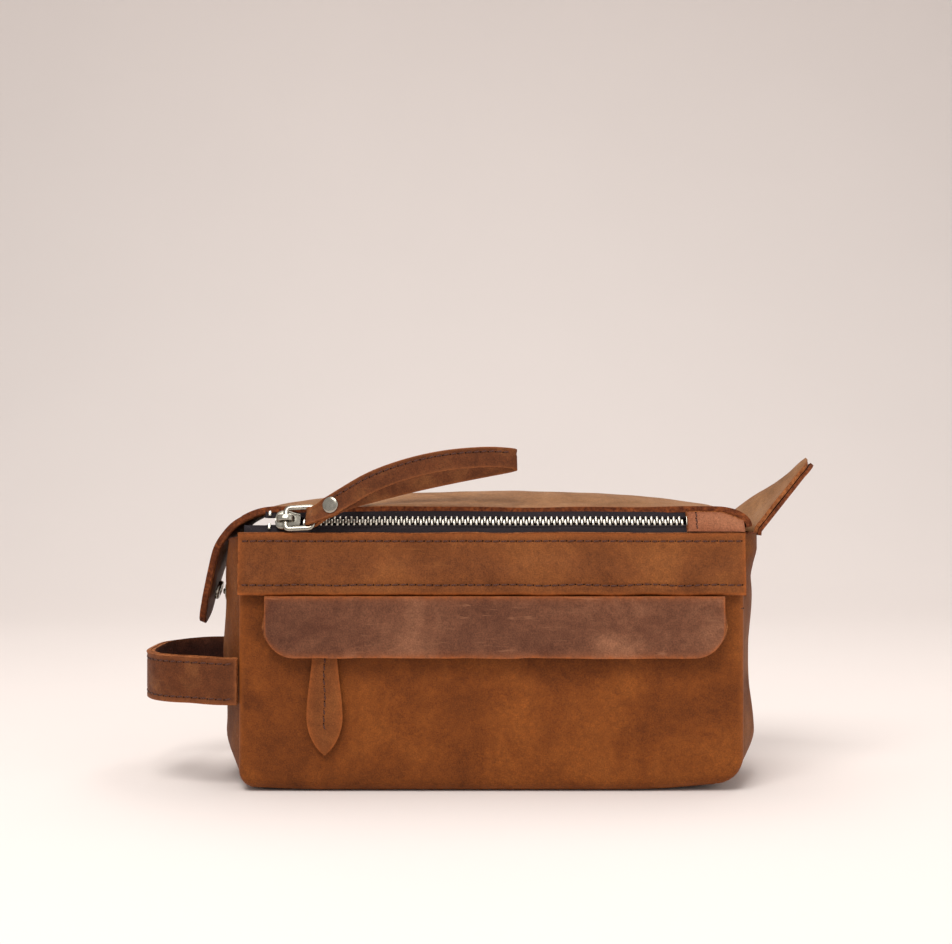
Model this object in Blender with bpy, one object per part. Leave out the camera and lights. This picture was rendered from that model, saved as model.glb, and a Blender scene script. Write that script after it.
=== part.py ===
"""Leather shaving kit bag: a gusseted box bag with a zipped lid, a zipped front pocket under a storm
flap, a side grab handle, a wrist loop on the zip pull, and a snap-down tongue.

Frame: origin at the centre of the base's underside, +X along the bag to the right, +Y to the back,
+Z up. Driving dimensions are in millimetres and the objects are in metres.
"""

import math

import bmesh
import bpy
from mathutils import Vector

# ---- driving dimensions, millimetres -------------------------------------------------------------

MM = 0.001
GAP = 0.3  # clearance kept between touching pieces

HALF_LENGTH = 125.0
HALF_DEPTH = 47.5
FRONT_HEIGHT = 128.0
LEATHER = 2.0
LINING = 0.8
LINING_INSET = 3.6  # from the leather's outer face to the cloth
LINING_FRONT_Y = -35.0  # the cloth hangs behind the front pocket
BOTTOM_RADIUS = 7.0  # round where the front and back turn under
SEAM_ROUND = 4.0  # how far the front's side edges turn back to the gusset seam
CORNER_LEFT = 9.0  # rounding of the base corners, seen from the front
CORNER_RIGHT = 15.0

GUSSET_BULGE = 13.0  # the end panels swell out this far at mid depth
GUSSET_TOP_LEFT = 126.0
GUSSET_TOP_DIP = 4.0
GUSSET_TOP_RIGHT = 127.4
GUSSET_TOP_BULGE = 8.4  # and less at their top edges
BACK_TOP = 126.5

BAND_BOTTOM = 97.5
BAND_HEM = 9.0  # height of the folded lower edge
BAND_PROUD = 0.3
BAND_HEM_THICK = 4.6

LID_FRONT_Y = -41.6
LID_REAR_Y = 47.3
LID_EDGE_Z = 139.8
LID_REAR_Z = 128.6
LID_DOME = 8.0
LID_DOME_REACH = 122.0
LID_SHARES = (0.06, 0.12, 0.25, 0.42, 0.6, 0.76, 0.87, 0.94, 0.98)
LID_LINING_LEFT_X = -121.8
LID_LINING_ENDS = (0.06, 0.94)
LID_RIGHT_SHOULDER = 112.0
LID_LEFT_SHOULDER = 106.0
LID_LEFT_CREASE_X = -124.5
LID_LEFT_CREASE_Z = 136.0
LID_RIGHT_END_X = 129.5
LID_RIGHT_END_Z = 130.2
LID_OUTER_THICK = 1.9
LID_LINING_THICK = 1.3

ZIP_TILT = math.radians(65.0)  # the tape leans back from the band's top edge
ZIP_START_Y = -46.9
ZIP_START_Z = 128.0
ZIP_STRIP = 12.1  # width of tape and chain between the band and the lid
TAPE = 0.6
TOOTH_PITCH = 2.75
TOOTH_WIDTH = 1.1
TOOTH_REACH = 3.0
TOOTH_THICK = 1.1
CORD_WIDTH = 1.3
CHAIN_ROOT = TOOTH_REACH * 0.5 + 0.2
CHAIN_HALF = CHAIN_ROOT + CORD_WIDTH
CHAIN_LEFT = -93.5
CHAIN_RIGHT = 96.0
SLIDER_X = -100.5
SLIDER_LENGTH = 12.4
SLIDER_WIDTH = 10.2
SLIDER_STATIONS = (  # place along it, share of its full width, height of its side flanges off the tape
    (-6.2, 0.62, 1.35), (-5.2, 0.86, 1.35), (-3.2, 1.0, 0.75), (0.0, 0.94, 0.75), (3.0, 0.86, 0.75),
    (5.4, 0.86, 0.75), (6.2, 0.8, 0.75),
)
PATCH_LEFT = 97.4
PATCH_RIGHT = 124.0

FLAP_LEFT = -113.0
FLAP_RIGHT = 115.5
FLAP_TOP = 97.1
FLAP_BOTTOM = 67.0
FLAP_CORNER = 15.0
FLAP_OUTER_Y = -53.0
FLAP_THICK = 1.9

POCKET_WINDOW_HALF = 104.0
POCKET_WINDOW_LOW = 76.0
POCKET_WINDOW_HIGH = 88.0
POCKET_ZIP_Z = 82.0
POCKET_SLIDER_X = -82.0
POCKET_BAG_DEPTH = 7.0
POCKET_BAG_WALL = 0.8
POCKET_BAG_HALF = 102.0
POCKET_BAG_LOW = 14.0
POCKET_BAG_HIGH = 96.0
POCKET_TOOTH_PITCH = 3.5
PULL_TOP = 75.5
PULL_TIP = 19.0
PULL_BELLY_Z = 37.0
PULL_LAYER = 1.1
PULL_WIDEST = 17.7
PULL_NECK = 12.0

HANDLE_Z = 55.2
HANDLE_HEIGHT = 22.5
HANDLE_REACH = 178.0
HANDLE_AXIS_X = -136.5
HANDLE_ROOT_Y = 45.6
HANDLE_LAYER = 1.9
HANDLE_ROOT_START = -126.0
HANDLE_SQUARENESS = 0.72  # below 1 the plan curve is squarer than an ellipse

TONGUE_LENGTH = 65.0
TONGUE_BASE_HALF = 35.0
TONGUE_TIP_HALF = 11.0
TONGUE_START_ANGLE = math.radians(-24.0)
TONGUE_END_ANGLE = math.radians(-74.0)
TONGUE_BEND = 26.0  # length over which it bends from the first angle to the second
TONGUE_SNAP_AT = 46.0
TONGUE_CLOSE = math.radians(2.0)  # it swings in this far to snap shut

EAR_X = 136.0
EAR_Z = 130.4
EAR_ANGLE = math.radians(46.0)
EAR_LENGTH = 46.0
EAR_BASE_HALF = 29.0
EAR_TIP_HALF = 9.0
EAR_LAYER = 1.9

RING_AXIS_X = SLIDER_X - 0.9
RING_OUT = 3.85
RING_LENGTH = 13.6
RING_HALF_WIDTH = 5.6
RING_BAR = 1.5
LOOP_WIDTH = 10.0
LOOP_EYE_WIDTH = 8.6
LOOP_THICK = 2.0
LOOP_NEAR = (
    (-82.6, -53.5, 139.3),
    (-78.5, -54.2, 141.6),
    (-72.0, -55.6, 145.4),
    (-57.4, -58.2, 153.6),
    (-40.0, -59.0, 159.8),
    (-22.0, -58.0, 163.7),
    (-4.0, -55.6, 165.3),
    (7.0, -53.0, 165.0),
    (11.8, -49.6, 164.4),
)
LOOP_FAR = (
    (12.0, -45.6, 163.6),
    (7.4, -42.2, 162.4),
    (-4.0, -38.6, 160.2),
    (-22.0, -35.4, 156.6),
    (-42.0, -35.6, 152.2),
    (-60.0, -41.0, 147.6),
    (-72.0, -50.5, 144.2),
    (-78.5, -51.1, 141.0),
    (-82.0, -50.6, 138.9),
)
LOOP_EYE_RADIUS = 2.6
LOOP_HALF_POINTS = 18
RIVET_RADIUS = 4.4

# ---- materials -----------------------------------------------------------------------------------

FINISHES = {
    "leather_tan": ((0.27, 0.095, 0.028), 0.55, 0.0),
    "leather_brown": ((0.16, 0.065, 0.035), 0.5, 0.0),
    "leather_light": ((0.36, 0.19, 0.09), 0.6, 0.0),
    "leather_dark": ((0.035, 0.018, 0.012), 0.7, 0.0),
    "lining_cloth": ((0.03, 0.03, 0.036), 0.85, 0.0),
    "zip_tape": ((0.02, 0.02, 0.028), 0.8, 0.0),
    "zip_metal": ((0.62, 0.58, 0.5), 0.3, 1.0),
}


def make_materials():
    made = {}
    for name, (colour, roughness, metallic) in FINISHES.items():
        material = bpy.data.materials.new(name)
        material.use_nodes = True
        shader = material.node_tree.nodes["Principled BSDF"]
        shader.inputs["Base Color"].default_value = (*colour, 1.0)
        shader.inputs["Roughness"].default_value = roughness
        shader.inputs["Metallic"].default_value = metallic
        made[name] = material
    return made


# ---- building tools ------------------------------------------------------------------------------


def clear_scene():
    for obj in list(bpy.data.objects):
        bpy.data.objects.remove(obj, do_unlink=True)


def add_pivot(name, position):
    """An empty on a joint's axis, which carries the pieces that turn about it."""
    pivot = bpy.data.objects.new(name, None)
    pivot.empty_display_size = 0.01
    pivot.location = Vector(position) * MM
    bpy.context.scene.collection.objects.link(pivot)
    return pivot


def add_object(name, mesh_data, finish, pivot=None, smooth=False):
    """Closes, orients and links a mesh given in millimetres, under its pivot if it has one."""
    bmesh.ops.remove_doubles(mesh_data, verts=mesh_data.verts, dist=1e-4)
    bmesh.ops.recalc_face_normals(mesh_data, faces=mesh_data.faces)
    if mesh_data.calc_volume(signed=True) < 0.0:
        bmesh.ops.reverse_faces(mesh_data, faces=mesh_data.faces)
    origin = pivot.location.copy() if pivot else Vector((0.0, 0.0, 0.0))
    for vert in mesh_data.verts:
        vert.co = vert.co * MM - origin
    mesh = bpy.data.meshes.new(name)
    mesh_data.to_mesh(mesh)
    mesh_data.free()
    mesh.materials.append(MATERIALS[finish])
    if smooth:
        mesh.shade_smooth()
        mesh.set_sharp_from_angle(angle=math.radians(35.0))
    obj = bpy.data.objects.new(name, mesh)
    bpy.context.scene.collection.objects.link(obj)
    if pivot:
        obj.parent = pivot
    return obj


def sheet(name, outer, inner, finish, pivot=None, missing=None):
    """A closed sheet between two grids of points. Cells that missing(i, j) names are left open."""
    rows = len(outer)
    columns = len(outer[0])
    mesh_data = bmesh.new()
    top = [[mesh_data.verts.new(p) for p in row] for row in outer]
    low = [[mesh_data.verts.new(p) for p in row] for row in inner]

    def present(i, j):
        inside = 0 <= i < rows - 1 and 0 <= j < columns - 1
        return inside and not (missing and missing(i, j))

    for i in range(rows - 1):
        for j in range(columns - 1):
            if not present(i, j):
                continue
            mesh_data.faces.new((top[i][j], top[i + 1][j], top[i + 1][j + 1], top[i][j + 1]))
            mesh_data.faces.new((low[i][j], low[i][j + 1], low[i + 1][j + 1], low[i + 1][j]))
            for (a, b), beyond in (
                (((i, j), (i, j + 1)), (i - 1, j)),
                (((i, j + 1), (i + 1, j + 1)), (i, j + 1)),
                (((i + 1, j + 1), (i + 1, j)), (i + 1, j)),
                (((i + 1, j), (i, j)), (i, j - 1)),
            ):
                if not present(*beyond):
                    corners = (top[a[0]][a[1]], top[b[0]][b[1]], low[b[0]][b[1]], low[a[0]][a[1]])
                    mesh_data.faces.new(corners)
    bmesh.ops.delete(mesh_data, geom=[v for v in mesh_data.verts if not v.link_faces], context="VERTS")
    return add_object(name, mesh_data, finish, pivot)


def loft(name, rings, finish, pivot=None, closed=False, smooth=False):
    """A closed body through rings of points, with end caps unless the rings go round."""
    mesh_data = bmesh.new()
    made = [[mesh_data.verts.new(p) for p in ring] for ring in rings]
    count = len(made[0])
    pairs = list(zip(made, made[1:]))
    if closed:
        pairs.append((made[-1], made[0]))
    for first, second in pairs:
        for k in range(count):
            after = (k + 1) % count
            mesh_data.faces.new((first[k], first[after], second[after], second[k]))
    if not closed:
        mesh_data.faces.new(made[0])
        mesh_data.faces.new(made[-1])
    return add_object(name, mesh_data, finish, pivot, smooth)


def turned(name, profile, centre, axis, finish, pivot=None, sides=20):
    """A turned body: profile holds (radius, height) from the bottom centre to the top centre."""
    turn = Vector((0.0, 0.0, 1.0)).rotation_difference(Vector(axis)).to_matrix()
    mesh_data = bmesh.new()
    rings = []
    for radius, height in profile:
        if radius == 0.0:
            rings.append([mesh_data.verts.new(Vector(centre) + turn @ Vector((0.0, 0.0, height)))])
            continue
        ring = []
        for k in range(sides):
            angle = 2.0 * math.pi * k / sides
            local = Vector((radius * math.cos(angle), radius * math.sin(angle), height))
            ring.append(mesh_data.verts.new(Vector(centre) + turn @ local))
        rings.append(ring)
    for first, second in zip(rings, rings[1:]):
        for k in range(sides):
            corners = [first[k % len(first)], first[(k + 1) % len(first)]]
            corners += [second[(k + 1) % len(second)], second[k % len(second)]]
            mesh_data.faces.new(list(dict.fromkeys(corners)))
    return add_object(name, mesh_data, finish, pivot, smooth=True)


def spread(low, high, count):
    return [low + (high - low) * k / (count - 1) for k in range(count)]


def arc_drop(amount, radius):
    """How far a quarter round has dropped, amount of the way along a run of the same radius."""
    share = min(max(amount / radius, 0.0), 1.0)
    return radius * (1.0 - math.sqrt(max(0.0, 1.0 - share * share)))


# ---- body shape ----------------------------------------------------------------------------------


def bottom_drop(z):
    """How far the front turns back towards the base at height z."""
    return arc_drop(BOTTOM_RADIUS - z, BOTTOM_RADIUS)


def corner_drop(side, z):
    radius = CORNER_LEFT if side < 0 else CORNER_RIGHT
    return arc_drop(radius - z, radius)


def panel_point(face, share, z, inset=0.0):
    """A point of the front (face -1) or back (face +1) panel, share from 0 (left) to 1 (right)."""
    left = -HALF_LENGTH + corner_drop(-1, z)
    right = HALF_LENGTH - corner_drop(1, z)
    x = left + share * (right - left)
    near_edge = SEAM_ROUND - min(x - left, right - x)
    turn = arc_drop(near_edge, SEAM_ROUND) * (1.0 - bottom_drop(z) / BOTTOM_RADIUS)
    back = bottom_drop(z) + turn + inset * (1.0 - bottom_drop(z) / BOTTOM_RADIUS)
    lift = inset * max(0.0, 1.0 - z / BOTTOM_RADIUS)
    return Vector((x, face * (HALF_DEPTH - back), z + lift))


def ease(value, low, high):
    share = min(max((value - low) / (high - low), 0.0), 1.0)
    return share * share * (3.0 - 2.0 * share)


def gusset_out(side, y_share, z):
    """How far an end panel stands out at height z, y_share from -1 (front) to 1 (back)."""
    foot = math.sin(0.5 * math.pi * min(z / 26.0, 1.0))
    top = ease(z, 100.0, GUSSET_TOP_RIGHT)
    height = GUSSET_BULGE * foot * (1.0 - top) + GUSSET_TOP_BULGE * top
    power = 2.0 + 4.0 * top
    out = height * (1.0 - abs(y_share) ** power)
    return HALF_LENGTH - corner_drop(side, z) + out


def gusset_half(z):
    turned_back = (SEAM_ROUND + LEATHER) * (1.0 - bottom_drop(z) / BOTTOM_RADIUS)
    return HALF_DEPTH - bottom_drop(z) - turned_back - GAP


def gusset_point(side, share, z, inset=0.0):
    """A point of an end panel, share from 0 (front) to 1 (back)."""
    half = gusset_half(z)
    across = 2.0 * share - 1.0
    out = gusset_out(side, across, z)
    radius = CORNER_LEFT if side < 0 else CORNER_RIGHT
    lift = inset * max(0.0, 1.0 - z / radius)
    level = inset * (1.0 - corner_drop(side, z) / radius)
    return Vector((side * (out - level), across * half, z + lift))


def round_heights(radius, top, straight_rows):
    """Heights up a panel: four steps round its bottom edge, then even rows to its top."""
    turn = [radius * (1.0 - math.cos(0.5 * math.pi * k / 4)) for k in range(4)]
    return turn + spread(radius, top, straight_rows)


def front_panel():
    heights = round_heights(BOTTOM_RADIUS, POCKET_WINDOW_LOW, 4)
    heights += [POCKET_WINDOW_HIGH, 104.0, 117.5]
    edge = SEAM_ROUND / (2.0 * HALF_LENGTH)
    window = POCKET_WINDOW_HALF / (2.0 * HALF_LENGTH)
    shares = [0.0, edge * 0.3, edge, 0.5 - window]
    shares += spread(0.5 - window, 0.5 + window, 6)[1:]
    shares += [1.0 - edge, 1.0 - edge * 0.3, 1.0]
    window_row = heights.index(POCKET_WINDOW_LOW)

    def in_window(i, j):
        return i == window_row and 3 <= j <= 7

    outer = [[panel_point(-1, s, z) for s in shares] for z in heights]
    inner = [[panel_point(-1, s, z, LEATHER) for s in shares] for z in heights]
    sheet("front_panel", outer, inner, "leather_tan", missing=in_window)


def back_panel():
    heights = round_heights(BOTTOM_RADIUS, BACK_TOP, 5)
    edge = SEAM_ROUND / (2.0 * HALF_LENGTH)
    shares = [0.0, edge * 0.3, edge] + spread(0.08, 0.92, 6) + [1.0 - edge, 1.0 - edge * 0.3, 1.0]
    outer = [[panel_point(1, s, z) for s in shares] for z in heights]
    inner = [[panel_point(1, s, z, LEATHER) for s in shares] for z in heights]
    sheet("back_panel", outer, inner, "leather_tan")


def base_panel():
    left = -HALF_LENGTH + CORNER_LEFT + GAP
    right = HALF_LENGTH - CORNER_RIGHT - GAP
    half = HALF_DEPTH - BOTTOM_RADIUS - GAP
    rows = [[Vector((x, y, 0.0)) for x in (left, right)] for y in (-half, half)]
    upper = [[p + Vector((0.0, 0.0, LEATHER)) for p in row] for row in rows]
    sheet("base_panel", upper, rows, "leather_tan")


def gusset_top(side, share):
    across = 2.0 * share - 1.0
    if side > 0:
        return GUSSET_TOP_RIGHT
    return GUSSET_TOP_LEFT - GUSSET_TOP_DIP * (1.0 - across * across)


def gusset(name, side):
    radius = CORNER_LEFT if side < 0 else CORNER_RIGHT
    shares = [0.0, 0.06, 0.16, 0.3, 0.43, 0.57, 0.7, 0.84, 0.94, 1.0]
    heights = round_heights(radius, 100.0, 4) + [110.0, 119.0]

    def grid(inset):
        rows = [[gusset_point(side, s, z, inset) for s in shares] for z in heights]
        rows.append([gusset_point(side, s, gusset_top(side, s), inset) for s in shares])
        return rows

    sheet(name, grid(0.0), grid(LEATHER), "leather_tan")


def lining_ring(z, depth):
    """One outline of the cloth bag at height z: it follows the end panels and leaves the front
    pocket its room."""
    depth += 4.0 * (1.0 - ease(z, 3.0, 16.0))
    front = LINING_FRONT_Y + depth
    back = HALF_DEPTH - bottom_drop(z) - LINING_INSET - depth
    ring = []
    for side in (1, -1):
        ends = []
        for y_share in (0.0, 0.12, 0.3, 0.5, 0.7, 0.86):
            y = front + y_share * (back - front)
            out = gusset_out(side, y / gusset_half(z), z) - LINING_INSET - depth
            ends.append(Vector((side * out, y, z)))
        ends.append(Vector((side * (HALF_LENGTH - corner_drop(side, z) - 12.0), back, z)))
        ring += ends if side > 0 else list(reversed(ends))
    return ring


def lining():
    """The cloth inner bag, open at the top, hung just inside the leather."""
    heights = [3.4, 12.0, 40.0, 80.0, 110.0]
    rings_out = [lining_ring(z, 0.0) for z in heights]
    rings_in = [lining_ring(z, LINING) for z in heights]
    rings_in[0] = [p + Vector((0.0, 0.0, LINING)) for p in rings_in[0]]
    mesh_data = bmesh.new()
    outer = [[mesh_data.verts.new(p) for p in ring] for ring in rings_out]
    inner = [[mesh_data.verts.new(p) for p in ring] for ring in rings_in]
    count = len(outer[0])
    for rings in (outer, inner):
        for low, high in zip(rings, rings[1:]):
            for k in range(count):
                after = (k + 1) % count
                mesh_data.faces.new((low[k], low[after], high[after], high[k]))
        mesh_data.faces.new(rings[0])
    for k in range(count):
        after = (k + 1) % count
        mesh_data.faces.new((outer[-1][k], outer[-1][after], inner[-1][after], inner[-1][k]))
    add_object("lining_bag", mesh_data, "lining_cloth")


# ---- front band, storm flap and pocket -----------------------------------------------------------


def top_band():
    """The strip along the top of the front, doubled where its lower edge folds under."""
    face = -HALF_DEPTH - BAND_PROUD
    hem = face - BAND_HEM_THICK
    profile = (
        (face, BAND_BOTTOM),
        (face, FRONT_HEIGHT),
        (face - LEATHER, FRONT_HEIGHT),
        (face - LEATHER, BAND_BOTTOM + BAND_HEM + 3.0),
        (hem, BAND_BOTTOM + BAND_HEM),
        (hem, BAND_BOTTOM + 1.0),
        (hem + 1.0, BAND_BOTTOM),
    )
    half = HALF_LENGTH - 0.4
    stations = ((-half, 1.6), (-half + 4.0, 0.0), (half - 4.0, 0.0), (half, 1.6))
    rings = []
    for x, retreat in stations:
        back = [Vector((x, y, z)) for y, z in profile[:2]]
        rings.append(back + [Vector((x, y + retreat, z)) for y, z in profile[2:]])
    loft("top_band", rings, "leather_brown")


def flap_outline_bottom(x):
    """Height of the storm flap's lower edge: straight, with a round at each end."""
    from_end = min(x - FLAP_LEFT, FLAP_RIGHT - x)
    return FLAP_BOTTOM + arc_drop(FLAP_CORNER - from_end, FLAP_CORNER)


def storm_flap():
    pivot = add_pivot("storm_flap_pivot", (0.0, FLAP_OUTER_Y, FLAP_TOP))
    corner = [FLAP_CORNER * (1.0 - math.cos(0.5 * math.pi * k / 4)) for k in range(5)]
    xs = [FLAP_LEFT + c for c in corner] + [-40.0, 40.0] + [FLAP_RIGHT - c for c in reversed(corner)]
    outer = []
    inner = []
    for share in (0.0, 0.5, 1.0):
        line = [Vector((x, FLAP_OUTER_Y, FLAP_TOP + share * (flap_outline_bottom(x) - FLAP_TOP))) for x in xs]
        outer.append(line)
        inner.append([p + Vector((0.0, FLAP_THICK, 0.0)) for p in line])
    sheet("storm_flap", outer, inner, "leather_brown", pivot)


def comb(name, x_left, x_right, phase, place, finish, pivot=None, pitch=TOOTH_PITCH):
    """One side of a zip chain: teeth standing out of their cord, cut as one body.

    place(x, across, out) turns chain coordinates into a point, with across measured from the
    chain's centre line towards this side's tape.
    """
    root = CHAIN_ROOT
    spine = CHAIN_HALF
    outline = [(x_left, spine), (x_left, root)]
    x = x_left + 0.4 + phase * pitch
    while x + TOOTH_WIDTH < x_right - 0.3:
        outline.append((x, root))
        outline.append((x, root - TOOTH_REACH))
        outline.append((x + TOOTH_WIDTH, root - TOOTH_REACH))
        outline.append((x + TOOTH_WIDTH, root))
        x += pitch
    outline += [(x_right, root), (x_right, spine)]
    rings = []
    for out in (-TOOTH_THICK, TOOTH_THICK):
        rings.append([place(px, across, out) for px, across in outline])
    return loft(name, rings, finish, pivot)


SLOPE = Vector((0.0, math.cos(ZIP_TILT), math.sin(ZIP_TILT)))
OUTWARD = Vector((0.0, -math.sin(ZIP_TILT), math.cos(ZIP_TILT)))
ZIP_START = Vector((0.0, ZIP_START_Y, ZIP_START_Z))
CHAIN_CENTRE = ZIP_STRIP * 0.5


def on_slope(x, up, out):
    """A point on the zip's slope: up along the slope from the band's edge, out along its normal."""
    return ZIP_START + Vector((x, 0.0, 0.0)) + SLOPE * up + OUTWARD * out


def front_tape():
    """The front tape: tucked behind the band, then leaning back to the chain. It has a notch where
    the slider rests."""
    low = [(-47.2, 118.6), (-47.2, 127.6)]
    notch_up = 1.2
    chain_up = CHAIN_CENTRE - CHAIN_HALF - GAP
    notch = (SLIDER_X - 7.2, SLIDER_X + 7.0)
    xs = [-122.0, notch[0], notch[1], PATCH_LEFT + 12.0]
    outer = []
    inner = []
    for y, z in low:
        outer.append([Vector((x, y, z)) for x in xs])
        inner.append([Vector((x, y + TAPE, z)) for x in xs])
    for up in (notch_up, chain_up):
        outer.append([on_slope(x, up, TAPE * 0.5) for x in xs])
        inner.append([on_slope(x, up, -TAPE * 0.5) for x in xs])
    sheet("front_zip_tape", outer, inner, "zip_tape", missing=lambda i, j: i == 2 and j == 1)


def front_chain():
    place = lambda x, across, out: on_slope(x, CHAIN_CENTRE - across, out)
    comb("front_zip_chain", CHAIN_LEFT, CHAIN_RIGHT, 0.0, place, "zip_metal")


def rear_tape(pivot):
    """The rear tape hangs from the lid's front edge, with a notch where the slider rests."""
    chain_up = CHAIN_CENTRE + CHAIN_HALF + GAP
    top = ZIP_STRIP - 0.5
    notch = (SLIDER_X - 7.2, SLIDER_X + 7.0)
    xs = [-112.0, notch[0], notch[1], PATCH_LEFT - 1.2]
    ups = (chain_up, top - 0.6, top)
    outer = [[on_slope(x, up, TAPE * 0.5) for x in xs] for up in ups]
    inner = [[on_slope(x, up, -TAPE * 0.5) for x in xs] for up in ups]
    sheet("rear_zip_tape", outer, inner, "zip_tape", pivot, missing=lambda i, j: i == 0 and j == 1)


def rear_chain(pivot):
    place = lambda x, across, out: on_slope(x, CHAIN_CENTRE + across, out)
    comb("rear_zip_chain", CHAIN_LEFT, CHAIN_RIGHT, 0.5, place, "zip_metal", pivot)


def slope_block(name, x_range, up_range, out_range, finish, pivot=None):
    """A block with its sides along the slope."""
    rings = []
    for x in x_range:
        ring = [on_slope(x, up_range[0], out_range[0]), on_slope(x, up_range[1], out_range[0])]
        ring += [on_slope(x, up_range[1], out_range[1]), on_slope(x, up_range[0], out_range[1])]
        rings.append(ring)
    loft(name, rings, finish, pivot)


def zip_stops(lid_pivot):
    left = SLIDER_X - SLIDER_LENGTH * 0.5 - 2.2
    slope_block("front_top_stop", (left - 1.4, left), (1.3, 4.4), (0.6, 1.8), "zip_metal")
    slope_block("rear_top_stop", (left - 1.4, left), (8.4, 11.2), (0.6, 1.8), "zip_metal", lid_pivot)
    stop = (CHAIN_RIGHT + GAP, CHAIN_RIGHT + 1.1)
    slope_block("zip_bottom_stop", stop, (3.6, 8.5), (-1.2, 1.2), "zip_metal")


def end_patch():
    """The leather patch over the right end of the zip, turned down onto the gusset."""
    xs = [PATCH_LEFT, 106.0, 114.0, 119.0, 122.5, PATCH_RIGHT]
    falls = [0.0, 0.0, 0.2, 1.2, 3.0, 5.0]
    outer = []
    inner = []
    for up in (0.9, 4.5, 8.0, 10.6):
        share = (up - 0.9) / 9.7
        outer.append([on_slope(x, up, 2.0) - Vector((0.0, 0.0, f * share)) for x, f in zip(xs, falls)])
        inner.append([on_slope(x, up, 0.7) - Vector((0.0, 0.0, f * share)) for x, f in zip(xs, falls)])
    sheet("zip_end_patch", outer, inner, "leather_light")


def pocket_place(flip):
    y = -HALF_DEPTH + 2.6
    return lambda x, across, out: Vector((x, y + out * 0.8, POCKET_ZIP_Z + flip * across))


def pocket_zip():
    back = -HALF_DEPTH + LEATHER + GAP
    tape_gap = CHAIN_HALF + GAP
    left = -POCKET_WINDOW_HALF - 4.0
    right = POCKET_WINDOW_HALF + 4.0
    for name, low, high in (
        ("pocket_lower_tape", POCKET_WINDOW_LOW - 6.0, POCKET_ZIP_Z - tape_gap),
        ("pocket_upper_tape", POCKET_ZIP_Z + tape_gap, POCKET_WINDOW_HIGH + 6.0),
    ):
        outer = [[Vector((x, back, z)) for x in (left, right)] for z in (low, high)]
        inner = [[Vector((x, back + TAPE, z)) for x in (left, right)] for z in (low, high)]
        sheet(name, outer, inner, "zip_tape")
    start = POCKET_SLIDER_X + 6.0
    end = POCKET_WINDOW_HALF - 4.0
    comb("pocket_lower_chain", start, end, 0.0, pocket_place(-1), "zip_metal", pitch=POCKET_TOOTH_PITCH)
    comb("pocket_upper_chain", start, end, 0.5, pocket_place(1), "zip_metal", pitch=POCKET_TOOTH_PITCH)


def pocket_bag():
    """The flat cloth pouch behind the front panel: an open-fronted box, its mouth at the zip."""
    front = -HALF_DEPTH + LEATHER + GAP + TAPE + 1.9
    wall = POCKET_BAG_WALL
    half = POCKET_BAG_HALF
    low = POCKET_BAG_LOW
    high = POCKET_BAG_HIGH
    mouth_low = POCKET_WINDOW_LOW - 3.0
    mouth_high = POCKET_WINDOW_HIGH + 3.0
    mouth_half = half - 6.0
    mesh_data = bmesh.new()

    def box(y_near, y_far, half_x, z_low, z_high):
        corners = []
        for y in (y_near, y_far):
            for x, z in ((-half_x, z_low), (half_x, z_low), (half_x, z_high), (-half_x, z_high)):
                corners.append(mesh_data.verts.new((x, y, z)))
        return corners

    outer = box(front, front + POCKET_BAG_DEPTH, half, low, high)
    inner = box(front + wall, front + POCKET_BAG_DEPTH - wall, half - wall, low + wall, high - wall)
    mouth = box(front, front + wall, mouth_half, mouth_low, mouth_high)
    for box_corners in (outer, inner):
        mesh_data.faces.new(box_corners[4:])
        for k in range(4):
            after = (k + 1) % 4
            mesh_data.faces.new((box_corners[k], box_corners[after], box_corners[4 + after], box_corners[4 + k]))
    for k in range(4):
        after = (k + 1) % 4
        mesh_data.faces.new((outer[k], outer[after], mouth[after], mouth[k]))
        mesh_data.faces.new((inner[k], inner[after], mouth[4 + after], mouth[4 + k]))
        mesh_data.faces.new((mouth[k], mouth[after], mouth[4 + after], mouth[4 + k]))
    add_object("pocket_bag", mesh_data, "lining_cloth")


def pocket_slider():
    """Slider, bail and pull of the front pocket's zip, recessed in the panel's window."""
    face = -HALF_DEPTH
    pivot = add_pivot("pocket_slider_pivot", (POCKET_SLIDER_X, face, POCKET_ZIP_Z))
    outline = [(-5.0, -3.6), (-3.4, -4.6), (3.4, -3.6), (5.0, -2.6), (5.0, 2.6), (3.4, 3.6), (-3.4, 4.6), (-5.0, 3.6)]
    rings = []
    for y in (face + 1.0, face - 0.2):
        rings.append([Vector((POCKET_SLIDER_X + x, y, POCKET_ZIP_Z + z)) for x, z in outline])
    loft("pocket_slider_body", rings, "zip_metal", pivot)
    centre_y = face - 1.0
    rings = []
    for x, z, rise in ((-1.0, 3.4, 0.0), (-1.0, 2.0, 1.3), (-1.0, -2.0, 1.3), (-1.0, -3.4, 0.0)):
        middle = Vector((POCKET_SLIDER_X, centre_y - rise + 1.0 - 0.6, POCKET_ZIP_Z + z))
        ring = []
        for dx, dy in ((x, 0.0), (-x, 0.0), (-x, -0.7), (x, -0.7)):
            ring.append(middle + Vector((dx, dy, 0.0)))
        rings.append(ring)
    loft("pocket_slider_crown", rings, "zip_metal", pivot)


def pull_half_width(z):
    """Half width of the teardrop pull at height z."""
    if z > PULL_BELLY_Z:
        share = min((z - PULL_BELLY_Z) / (PULL_TOP - PULL_BELLY_Z) * 1.1, 1.0)
        swell = 0.5 + 0.5 * math.cos(math.pi * share)
        return 0.5 * (PULL_NECK + (PULL_WIDEST - PULL_NECK) * swell)
    share = (PULL_BELLY_Z - z) / (PULL_BELLY_Z - PULL_TIP)
    return max(0.5 * PULL_WIDEST * math.sqrt(max(0.0, 1.0 - share ** 1.8)), 0.9)


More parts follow.
